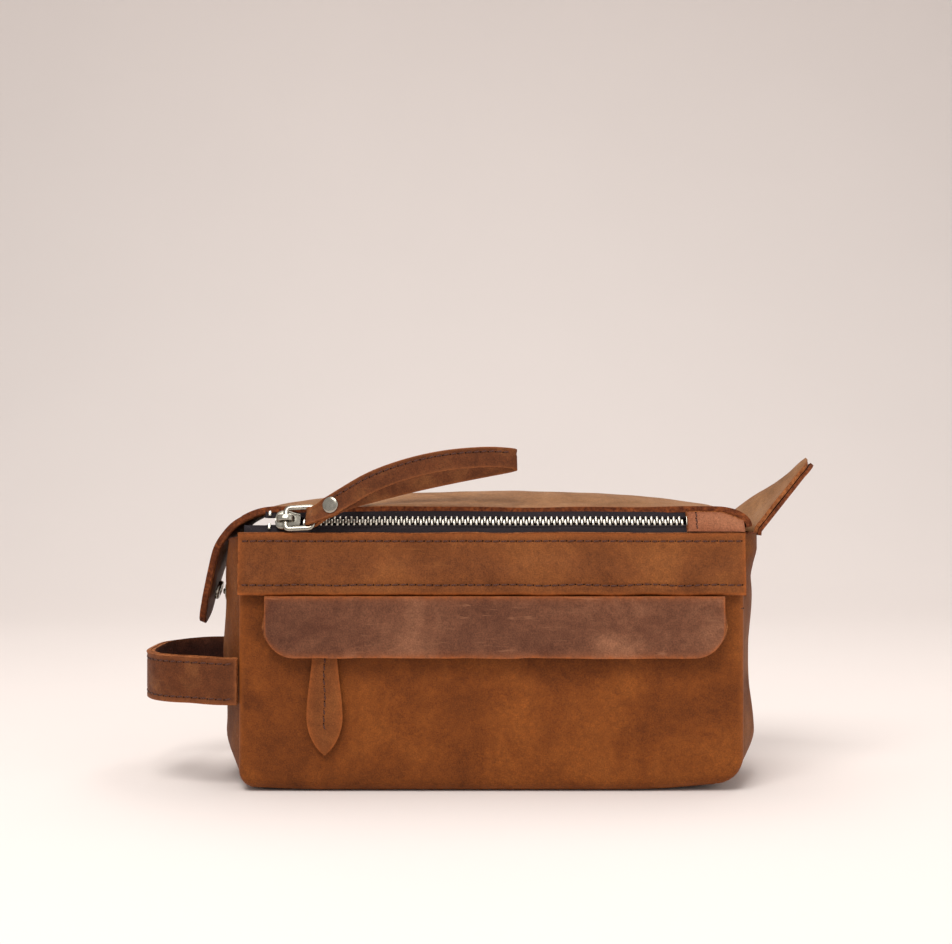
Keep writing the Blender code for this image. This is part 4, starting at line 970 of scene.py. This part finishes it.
def lid_and_tongue_grid(depth, shares, right, tongue_end):
    """Columns of points from the lid's right end to the tongue's tip, depth under the outer face."""
    def lid_spot(x, share):
        spot = lid_point(x, crease_trim(x, share))
        lip = 1.0 - ease(spot.y, -41.6, -31.0)
        wave = lid_wave(x, spot.y) + (0.9 + 0.5 * ripple(x, 0.0, 40.0, 25.0)) * lip
        return spot + vec(0.0, -1.5 * lip, wave)

    def tongue_spot(along, share):
        half = taper_half(along, tongue_end, TONGUE_BASE_HALF, TONGUE_TIP_HALF)
        across = 2.0 * share - 1.0
        wave = 0.45 * ripple(along, across * half, 17.0, 22.0) * ease(along, 0.0, 10.0)
        wave += 0.9 * ease(along, 6.0, 30.0)
        wave += 0.7 * across * across * ease(along, 8.0, 40.0) * (1.0 - ease(along, 50.0, 64.0))
        middle = tongue_place(along)
        return middle + vec(0.0, across * half, 0.0) + (middle - tongue_place(along, 1.0)) * wave

    right_turn = [LID_RIGHT_SHOULDER + 17.5 * sin(0.5 * pi * k / 12) for k in range(13)]
    xs = [x for x in reversed(right_turn) if x <= right] + spread(LID_RIGHT_SHOULDER - 2.0, -104.0, 110)
    xs += spread(-106.0, LID_LEFT_CREASE_X, 12)
    columns = sheet(lid_spot, xs, shares)
    columns += sheet(tongue_spot, tip_rows(1.2, tongue_end, TONGUE_TIP_HALF, 34), shares)
    return [[spot - grid_normal(columns, i, j) * depth for j, spot in enumerate(column)]
            for i, column in enumerate(columns)]


def lid():
    shares = graded(0.0, 1.0, 44, (0.008, 0.02, 0.035))
    grid = lid_and_tongue_grid(0.0, shares, LID_RIGHT_END_X, TONGUE_LENGTH)
    flip = grid_normal(grid, 40, 20).z < 0.0
    skin("lid_and_tongue_leather", grid, LID_THICK, [TOP, CUT, FLESH], LID_BEND,
         ["lid_outer", "tongue_outer"], "leather_light", flip=flip, worn=1.2, bevel=0.6,
         plump=lambda distance: 1.1 * exp(-((distance / 2.6) ** 2)))
    row = [(lid_point(x, 0.955) + vec(0.0, 0.0, 0.1), vec(0.0, 0.45, 0.9))
           for x in spread(112.0, -100.0, 160)]
    stitches("lid_hinge_stitches", [row], "lid")
    shares = graded(0.045, 0.955, 30, (0.01, 0.02, 0.035))
    under = lid_and_tongue_grid(-2.05 if flip else 2.05, shares, 126.0, TONGUE_LENGTH - 1.2)
    skin("lid_and_tongue_lining", under, 1.25, [FLESH, CUT_PALE, SIDE], LID_BEND,
         ["lid_lining", "tongue_lining"], "leather_dark", flip=flip)


def ear_place(along, depth):
    """The ear stands up and out at an angle; its root turns down behind the end panel's hem."""
    turn = ease(-along, 0.0, 4.0)
    heading = vec(cos(EAR_ANGLE), 0.0, sin(EAR_ANGLE)) * (1.0 - turn) + vec(0.35, 0.0, 0.94) * turn
    heading.normalize()
    return vec(EAR_X, 0.0, EAR_Z) + heading * along + vec(heading.z, 0.0, -heading.x) * depth


def hinge_strip():
    """The thin leather on the inside that joins the lid to the back panel."""
    profile = [(44.9, 119.0), (44.9, 121.0), (44.8, 123.0), (44.8, 125.0), (44.8, 126.4), (44.9, 127.4),
               (45.0, 128.4), (44.9, 129.4), (44.6, 130.4), (44.3, 131.6)]
    grid = sheet(lambda spot, x: vec(x, *spot), profile, graded(-98.0, 112.0, 60))
    skin("hinge_strip_leather", grid, 0.7, [SIDE, CUT, FLESH], HINGE_BEND,
         flip=grid_normal(grid, 4, 30).y < 0.0, bevel=0.2)


def ear():
    for name, upper, finish, edge, slot in (
        ("ear_upper_layer", True, TOP, CUT_PALE, "leather_light"),
        ("ear_lower_layer", False, SIDE, CUT, "leather_brown"),
    ):
        def point(along, across):
            half = taper_half(along, EAR_LENGTH, EAR_BASE_HALF, EAR_TIP_HALF)
            plump = 0.9 * (1.0 - across * across) * ease(along, 20.0, 42.0)
            wave = 0.35 * ripple(along, across * half, 15.0, 30.0)
            lift = 5.0 * ease(across, -0.35, 1.0) * (1.0 - ease(along, 0.0, 40.0)) * ease(along, -4.0, 3.0)
            outer = -2.05 - plump - wave if upper else 2.35 + plump * 0.5
            return ear_place(along, outer - lift) + vec(0.0, across * half, 0.0)

        grid = sheet(point, tip_rows(-4.0, EAR_LENGTH, EAR_TIP_HALF, 34),
                     graded(-1.0, 1.0, 18, (0.02, 0.06, 0.1)))
        faces_up = grid_normal(grid, 20, 10).z > 0.0
        skin(name + "_leather", grid, 1.9, [finish, edge, FLESH], EAR_BEND, [name], slot,
             flip=faces_up != upper)


# ---- handle ----

def handle_plan(share, inset):
    angle = pi * (share - 0.5)
    reach = HANDLE_REACH + HANDLE_ROOT_START - inset
    return vec(HANDLE_ROOT_START - reach * abs(cos(angle)) ** HANDLE_SQUARENESS,
               (HANDLE_ROOT_Y - inset) * signed_power(sin(angle), HANDLE_SQUARENESS), 0.0)


def handle_point(share, across, inset):
    sag = 1.2 * exp(-((share - 0.5) / 0.3) ** 2)
    half = 0.5 * HANDLE_HEIGHT + 0.2 * ripple(share * 200.0, 0.0, 22.0, 40.0)
    fall = 0.9 * ease(share, 0.12, 0.0) if share < 0.5 else 0.9 * ease(share, 0.88, 1.0)
    return handle_plan(share, inset) + vec(0.0, 0.0, HANDLE_Z + across * half - sag * 0.3 - fall)


def handle():
    turn = [0.0, 0.003, 0.008, 0.015, 0.025, 0.04]
    shares = turn + spread(0.055, 0.945, 110) + [1.0 - s for s in reversed(turn)]
    for name, outer, finish, slot in (
        ("handle_outer_strap", True, STRAP, "leather_tan"),
        ("handle_inner_strap", False, FLESH, "leather_dark"),
    ):
        def point(across, share):
            if outer:
                inset = 0.35 * groove((1.0 - abs(across)) * 11.25 - 2.6, 0.8)
            else:
                inset = HANDLE_LAYER + GAP - 0.3 * abs(ripple(share * 190.0, across * 5.0, 7.0, 41.0))
            return handle_point(share, across, inset)

        grid = sheet(point, graded(-1.0, 1.0, 16, (0.03, 0.08, 0.14)), shares)
        skin(name + "_leather", grid, HANDLE_LAYER, [finish, CUT_PALE, FLESH], HANDLE_BEND, [name], slot,
             flip=grid_normal(grid, 10, len(shares) // 2).x > 0.0, worn=1.4)
    rows = []
    for side in (-0.77, 0.77):
        row = []
        for share in spread(0.004, 0.996, 220):
            here = handle_point(share, side, 0.2)
            row.append((here, (here - handle_point(share, side, 1.2)).normalized()))
        rows.append(row)
    stitches("handle_stitches", rows, HANDLE_BEND)


# ---- zips ----


def on_slope(x, up, out):
    """A point on the zip's slope: the chain wanders a little along its length."""
    calm = ease(abs(x - SLIDER_X), 8.0, 30.0) * ease(PATCH_LEFT + 6.0 - x, 0.0, 20.0)
    sway = 0.25 * ripple(x, 0.0, 34.0, 50.0) * calm
    return ZIP_START + vec(x, 0.0, 0.0) + SLOPE * (up + sway) + OUTWARD * (out + 0.2 * sway)


def tooth_template():
    """One tooth: rounded, narrow at the neck and full at the tip, along +Y from tape to tip."""
    return [[(0.5 * width * signed_power(c, 0.55), along, thick * signed_power(s, 0.55))
             for c, s in circle(10, 0.5)]
            for along, width, thick in ((-2.45, 0.85, 0.9), (-2.25, 1.15, 1.15), (-0.8, 1.15, 1.15),
                                        (0.05, 0.92, 1.05), (0.8, 0.95, 0.95), (1.05, 0.65, 0.65))]


def teeth(name, first, last, phase, where, how, replaced, scale=1.0):
    """A row of teeth; where(x, across, out) has across measured from the centre line to the tape."""
    shape = bmesh.new()
    x = first + 0.9 + phase * TOOTH_PITCH
    while x < last - 0.9:
        rings = [[shape.verts.new(where(x + dx * scale, -dy * scale, dz * scale)) for dx, dy, dz in ring]
                 for ring in tooth_template()]
        for low, high in zip(rings, rings[1:]):
            bridge(shape, low, high)
        shape.faces.new(rings[0])
        shape.faces.new(rings[-1])
        x += TOOTH_PITCH
    made_object(name, shape, [TEETH], how, replaced, "zip_metal", sharp=55.0)


def tape(name, rows, left, right, how, replaced, count=150):
    """A zip tape: each of rows is a function of x giving a point on its face."""
    grid = sheet(lambda row, x: row(x), rows, spread(left, right, count))
    skin(name, grid, 0.6, [TAPE, TAPE, TAPE], how, replaced, "zip_tape",
         flip=grid_normal(grid, 1, count // 2).y > 0.0, bevel=0.15)


def cord(name, left, right, up, how):
    """The thickened edge of the tape that the teeth are clamped on."""
    rings = [[on_slope(x, up + 0.75 * c, 0.75 * s) for c, s in circle(8)] for x in spread(left, right, 120)]
    loft(name, rings, [TAPE], how, slot="zip_tape")


def main_zip():
    def gathered(x, share, start, width, shift):
        gather = 0.35 * ripple(x + shift, 0.0, 13.0, 51.0)
        return on_slope(x, start + share * width, 0.3 + gather * sin(pi * share))

    front = [lambda x, z=z: vec(x, -47.2, z) for z in (119.0, 127.6)]
    front += [lambda x, s=s: gathered(x, s, 0.9, 3.0, 0.0) for s in spread(0.0, 1.0, 6)]
    rear = [lambda x, s=s: gathered(x, s, 8.2, 3.3, 40.0) for s in spread(0.0, 1.0, 6)]
    tape("front_tape_cloth", front, -122.0, PATCH_LEFT + 12.0, "bag", ["front_zip_tape"])
    tape("rear_tape_cloth", rear, -112.0, PATCH_LEFT - 1.2, "lid", ["rear_zip_tape"])
    cord("front_tape_cord", -111.0, PATCH_LEFT + 6.0, CHAIN_CENTRE - 2.5, "bag")
    cord("rear_tape_cord", -111.0, PATCH_LEFT - 1.2, CHAIN_CENTRE + 2.5, "lid")
    for side, phase, sign, body in (("front", 0.0, -1.0, "bag"), ("rear", 0.5, 1.0, "lid")):
        teeth(side + "_teeth", CHAIN_LEFT, CHAIN_RIGHT, phase,
              lambda x, across, out: on_slope(x, CHAIN_CENTRE + sign * across, out),
              body, [side + "_zip_chain"])


def end_patch():
    def point(up, x):
        fall = 5.0 * ease(x, 110.0, PATCH_RIGHT + 4.0) ** 1.3 * (up / 10.8)
        bulge = 0.7 * sin(pi * up / 11.0) + 0.25 * ripple(x, up, 12.0, 52.0)
        return on_slope(x, up, 1.7 + bulge * 0.5) - vec(0.0, 0.0, fall)

    grid = sheet(point, spread(0.4, 10.8, 16), spread(PATCH_LEFT - 0.6, PATCH_RIGHT, 44))
    skin("zip_end_patch_leather", grid, 1.2, [PATCH, CUT_PALE, FLESH], "bag", ["zip_end_patch"],
         "leather_light", flip=grid_normal(grid, 8, 20).y > 0.0)
    row = [(on_slope(101.4, up, 1.75 + 0.35 * sin(pi * up / 11.0)), OUTWARD) for up in spread(0.8, 10.2, 12)]
    stitches("zip_end_patch_stitches", [row], "bag", pitch=3.0)


def polish(node_name, finish, how, size, slot="zip_metal"):
    """The CAD piece with rounded edges and its own finish."""
    shape = bmesh.new()
    shape.from_mesh(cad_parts[node_name].data)
    bmesh.ops.remove_doubles(shape, verts=shape.verts[:], dist=1e-6)
    bmesh.ops.dissolve_limit(shape, angle_limit=radians(2.0), verts=shape.verts[:], edges=shape.edges[:])
    bmesh.ops.scale(shape, vec=(1.0 / MM, 1.0 / MM, 1.0 / MM), verts=shape.verts[:])
    edges = [e for e in shape.edges if len(e.link_faces) == 2 and e.calc_face_angle(0.0) > radians(20.0)]
    bmesh.ops.bevel(shape, geom=edges, offset=size, segments=2, profile=0.6, affect="EDGES",
                    clamp_overlap=True)
    made_object(node_name + "_finished", shape, [finish], how, [node_name], slot)


def pocket_zip():
    sides = (("pocket_lower", -1.0, 0.0), ("pocket_upper", 1.0, 0.5))
    for name, sign, _ in sides:
        rows = [lambda x, z=z: vec(x, -HALF_DEPTH + LEATHER + GAP + 0.1 * ripple(x, z, 20.0, 60.0), z)
                for z in sorted(spread(POCKET_ZIP_Z + sign * 1.9, POCKET_ZIP_Z + sign * 12.0, 6))]
        tape(name + "_tape_cloth", rows, -POCKET_WINDOW_HALF - 4.0, POCKET_WINDOW_HALF + 4.0, "bag",
             [name + "_tape"], 90)
    for name, sign, phase in sides:
        teeth(name + "_chain_teeth", POCKET_SLIDER_X + 6.0, POCKET_WINDOW_HALF - 4.0, phase,
              lambda x, across, out: vec(x, -HALF_DEPTH + 2.4 + out * 0.8, POCKET_ZIP_Z + sign * across),
              "bag", [name + "_chain"], scale=0.92)
    polish("pocket_bag", CLOTH, "bag", 0.4, "lining_cloth")
    for piece in ("pocket_slider_body", "pocket_slider_crown"):
        polish(piece, NICKEL, "pocket_slider", 0.25)


def slider():
    """The main slider: domed top plate with side flanges, flat bottom plate, and a bridged crown."""
    for name, sign, breadth in (("main_slider_top", 1.0, 1.0), ("main_slider_bottom", -1.0, 0.93)):
        rings = []
        for t in spread(0.0, 1.0, 33):
            nose = sqrt(max(0.0, 1.0 - max(0.0, (0.28 - t) / 0.28) ** 2))
            tail = sqrt(max(0.0, 1.0 - max(0.0, (t - 0.94) / 0.06) ** 2 * 0.35))
            wide = 5.1 * breadth * (0.34 + 0.66 * nose) * (1.0 - 0.34 * ease(t, 0.42, 0.95)) * tail
            flange = 0.75 if t > 0.2 and wide > 4.15 else 1.42
            dome = 1.25 * sin(pi * min(max(t * 0.92 + 0.06, 0.08), 0.97)) ** 0.7 if sign > 0.0 else 0.25
            lip = max(wide - 0.9, 0.4)
            outline = [vec(-wide, flange), vec(-lip, flange), vec(-lip, 1.5)]
            outline += [vec(-x, y) for x, y in reversed(outline)]
            outline += [vec(wide * cos(pi * k / 8.0), 1.95 + (0.35 + dome) * sin(pi * k / 8.0) ** 0.8)
                        for k in range(9)]
            rings.append([on_slope(SLIDER_X - 6.2 + 12.4 * t, CHAIN_CENTRE + corner.x, sign * corner.y)
                          for corner in rounded_profile(outline, 0.3)])
        loft(name + "_nickel", rings, [NICKEL], "main_slider", [name], sharp=70.0)
    path = smooth_curve(((-4.9, 2.9), (-4.3, 4.3), (-2.4, 5.6), (0.6, 5.75), (2.4, 4.6), (3.0, 2.9)), 26)
    rings = []
    for k, here in enumerate(path):
        tangent = (path[min(k + 1, 25)] - path[max(k - 1, 0)]).normalized()
        ring = []
        for c, s in circle(14):
            spot = here + vec(-tangent.y, tangent.x) * 0.62 * signed_power(s, 0.6)
            ring.append(on_slope(SLIDER_X + spot.x, CHAIN_CENTRE + 1.6 * signed_power(c, 0.6), spot.y))
        rings.append(ring)
    loft("main_slider_crown_nickel", rings, [NICKEL], "main_slider", ["main_slider_crown"])


def ring_place(along, up, out):
    centre = ZIP_START + vec(RING_AXIS_X + along, 0.0, 0.0)
    return centre + SLOPE * (CHAIN_CENTRE + up) + OUTWARD * (RING_OUT + out + along * 0.12)


def pull_ring():
    corners = [vec(x, y) for x, y in ((0.0, -RING_HALF_WIDTH), (RING_LENGTH, -RING_HALF_WIDTH),
                                      (RING_LENGTH, RING_HALF_WIDTH), (0.0, RING_HALF_WIDTH))]
    path = []
    for k, here in enumerate(corners):
        after = corners[(k + 1) % 4]
        path += bent(here + (corners[k - 1] - here).normalized() * 2.4, here,
                     here + (after - here).normalized() * 2.4, 7)
        path.append((here + after) * 0.5)
    rings = []
    for k, here in enumerate(path):
        tangent = (path[(k + 1) % len(path)] - path[k - 1]).normalized()
        side = vec(-tangent.y, tangent.x)
        rings.append([ring_place(*(here + side * 1.35 * c), 0.85 * s) for c, s in circle(12)])
    loft("pull_ring_nickel", rings, [NICKEL], "pull_ring", ["pull_ring"], closed=True)


# ---- wrist loop ----

def loop_frames():
    """The strap's centre line as (point, width direction, thickness direction, width)."""
    centre = ring_place(RING_LENGTH, 0.0, 0.0)
    path = [centre + (vec(cos(turn), 0.0, 0.0) + OUTWARD * sin(turn)) * LOOP_EYE_RADIUS
            for turn in spread(radians(70.0), radians(290.0), 19)]
    path += smooth_curve(LOOP_FAR, HALF_POINTS)[::-1] + smooth_curve(LOOP_NEAR, HALF_POINTS)[::-1]
    count = len(path)
    for _ in range(3):
        path = [path[k] * 0.5 + (path[k - 1] + path[(k + 1) % count]) * 0.25 for k in range(count)]
    frames = []
    for k, here in enumerate(path):
        tangent = (path[(k + 1) % count] - path[k - 1]).normalized()
        away = (here - centre).length
        by_ring = max(0.0, 1.0 - away / 22.0)
        wide = SLOPE * by_ring + UP * (1.0 - by_ring)
        wide = (wide - tangent * wide.dot(tangent)).normalized()
        width = LOOP_EYE_WIDTH + (LOOP_WIDTH - LOOP_EYE_WIDTH) * ease(away, 4.0, 12.0)
        frames.append((here, wide, tangent.cross(wide).normalized(), width))
    return frames


def wrist_loop():
    frames = loop_frames()
    outline = [(across, -1.0 if abs(across) < 0.99 else -0.5)
               for across in (-1.0, -0.97, -0.8, -0.55, -0.3, 0.0, 0.3, 0.5, 0.62, 0.8, 0.97, 1.0)]
    outline += [(-across, -through) for across, through in outline]
    rings = []
    for index, (here, wide, thick, width) in enumerate(frames):
        ring = []
        for across, through in outline:
            dent = 1.0 - 0.30 * groove((across - 0.56) * 5.0, 0.7)
            wave = 0.12 * ripple(index * 1.6, across * 5.0, 7.0, 70.0)
            lift = through * LOOP_THICK * 0.5 * dent + wave
            ring.append(here + wide * across * width * 0.5 + thick * lift)
        rings.append(ring)
    loft("wrist_strap_leather", rings, [STRAP, CUT_PALE], "wrist_loop", ["wrist_strap"], "leather_tan",
         closed=True, finish_of=lambda k: 1 if k in (0, 10, 11, 12, 22, 23) else 0,
         wear_of=lambda k: max(0.0, abs(outline[k][0]) - 0.78) * 4.4)
    rows = [[(here + wide * width * 0.28 + thick * sign * LOOP_THICK * 0.40, thick * sign)
             for here, wide, thick, width in frames[low:high]]
            for low, high in ((34, 84), (96, 148)) for sign in (-1.0, 1.0)]
    stitches("wrist_strap_stitches", rows, "wrist_loop", pitch=3.6)
    cap = [(0.0, -0.9), (3.6, -0.9), (3.9, -0.1), (4.05, 0.2), (3.95, 0.5), (3.5, 0.72), (2.4, 0.88),
           (1.2, 0.96), (0.0, 1.0)]
    back = [(0.0, -0.6), (3.4, -0.6), (3.7, 0.1), (3.5, 0.5), (2.0, 0.75), (0.0, 0.8)]
    for name, profile, part, target, toward in (
        ("rivet_cap", cap, frames[-HALF_POINTS:], LOOP_NEAR[1], -1.0),
        ("rivet_back", back, frames[-2 * HALF_POINTS:-HALF_POINTS], LOOP_FAR[-2], 1.0),
    ):
        here, _, out, _ = min(part, key=lambda f: (f[0] - Vector(target)).length)
        out = out if out.y * toward > 0.0 else -out
        turned(name + "_nickel", profile, here + out * (LOOP_THICK * 0.5 + 0.1), out, "wrist_loop", [name])


# ---- snap ----


def snap():
    here = tongue_place(46.0)
    cap = [(0.0, 0.0), (5.6, 0.0), (6.2, 0.5), (6.1, 0.9), (5.2, 1.35), (3.4, 1.75), (1.6, 1.95), (0.0, 2.0)]
    turned("snap_cap_nickel", cap, here, here - tongue_place(46.0, 1.0), "tongue", ["snap_cap"])


# ---- the whole bag ----


def build_bag():
    body_panel("front_leather", -1, FRONT_TOP, 110, "front_panel", (POCKET_WINDOW_LOW, POCKET_WINDOW_HIGH))
    body_panel("back_leather", 1, BACK_TOP, 90, "back_panel")
    gusset("left_gusset_leather", -1, "left_gusset")
    gusset("right_gusset_leather", 1, "right_gusset")
    for build in (base, lining, top_band, storm_flap, teardrop, lid, hinge_strip, ear, handle, main_zip,
                  end_patch, pocket_zip, slider, pull_ring, wrist_loop, snap):
        build()
    for piece, body, size in (
        ("snap_socket", "tongue", 0.15), ("snap_stud", "bag", 0.15), ("snap_stud_washer", "bag", 0.15),
        ("front_top_stop", "bag", 0.3), ("rear_top_stop", "lid", 0.3), ("zip_bottom_stop", "bag", 0.3),
    ):
        polish(piece, NICKEL, body, size)


# ---- studio ----


def placed(name, data, spot):
    obj = bpy.data.objects.new(name, data)
    obj.location = spot
    bpy.context.scene.collection.objects.link(obj)
    return obj


def studio():
    """A pale floor that curves up into a wall, soft lamps and the camera."""
    profile = [(-9.0, 0.0), (0.8, 0.0)]
    profile += [(0.8 + sin(0.5 * pi * k / 16), 1.0 - cos(0.5 * pi * k / 16)) for k in range(1, 17)]
    profile.append((1.8, 4.0))
    shape = bmesh.new()
    lines = [[shape.verts.new((x, y, z)) for x in (-9.0, 9.0)] for y, z in profile]
    for low, high in zip(lines, lines[1:]):
        shape.faces.new((low[0], low[1], high[1], high[0]))
    linked_mesh("floor", shape, [paper("floor_paper", linear(229, 221, 217))])
    world = bpy.data.worlds.new("studio")
    bpy.context.scene.world = world
    world.use_nodes = True
    surface = world.node_tree.nodes["Background"]
    surface.inputs["Color"].default_value = (1.0, 0.965, 0.945, 1.0)
    surface.inputs["Strength"].default_value = 0.56
    for name, size, power, spot, aim_z in (
        ("key", 0.8, 20.0, vec(-0.35, -0.95, 1.45), 0.08),
        ("fill", 1.4, 6.0, vec(1.3, -1.0, 0.7), 0.08),
        ("top", 1.2, 9.5, vec(0.1, 0.35, 1.5), 0.1),
    ):
        data = bpy.data.lights.new(name, "AREA")
        data.size = size
        data.energy = power
        data.color = (1.0, 0.97, 0.94)
        lamp = placed(name, data, spot)
        lamp.rotation_euler = (vec(0.0, 0.0, aim_z) - spot).to_track_quat("-Z", "Y").to_euler()
    data = bpy.data.cameras.new("camera")
    data.lens = 53.7
    data.sensor_width = 36.0
    data.clip_start = 0.05
    camera = placed("camera", data, (-0.0076, -0.7475, 0.158))
    camera.rotation_euler = (radians(90.0), 0.0, 0.0)
    bpy.context.scene.camera = camera
    bpy.context.scene.view_settings.view_transform = "Standard"


build_bag()
studio()
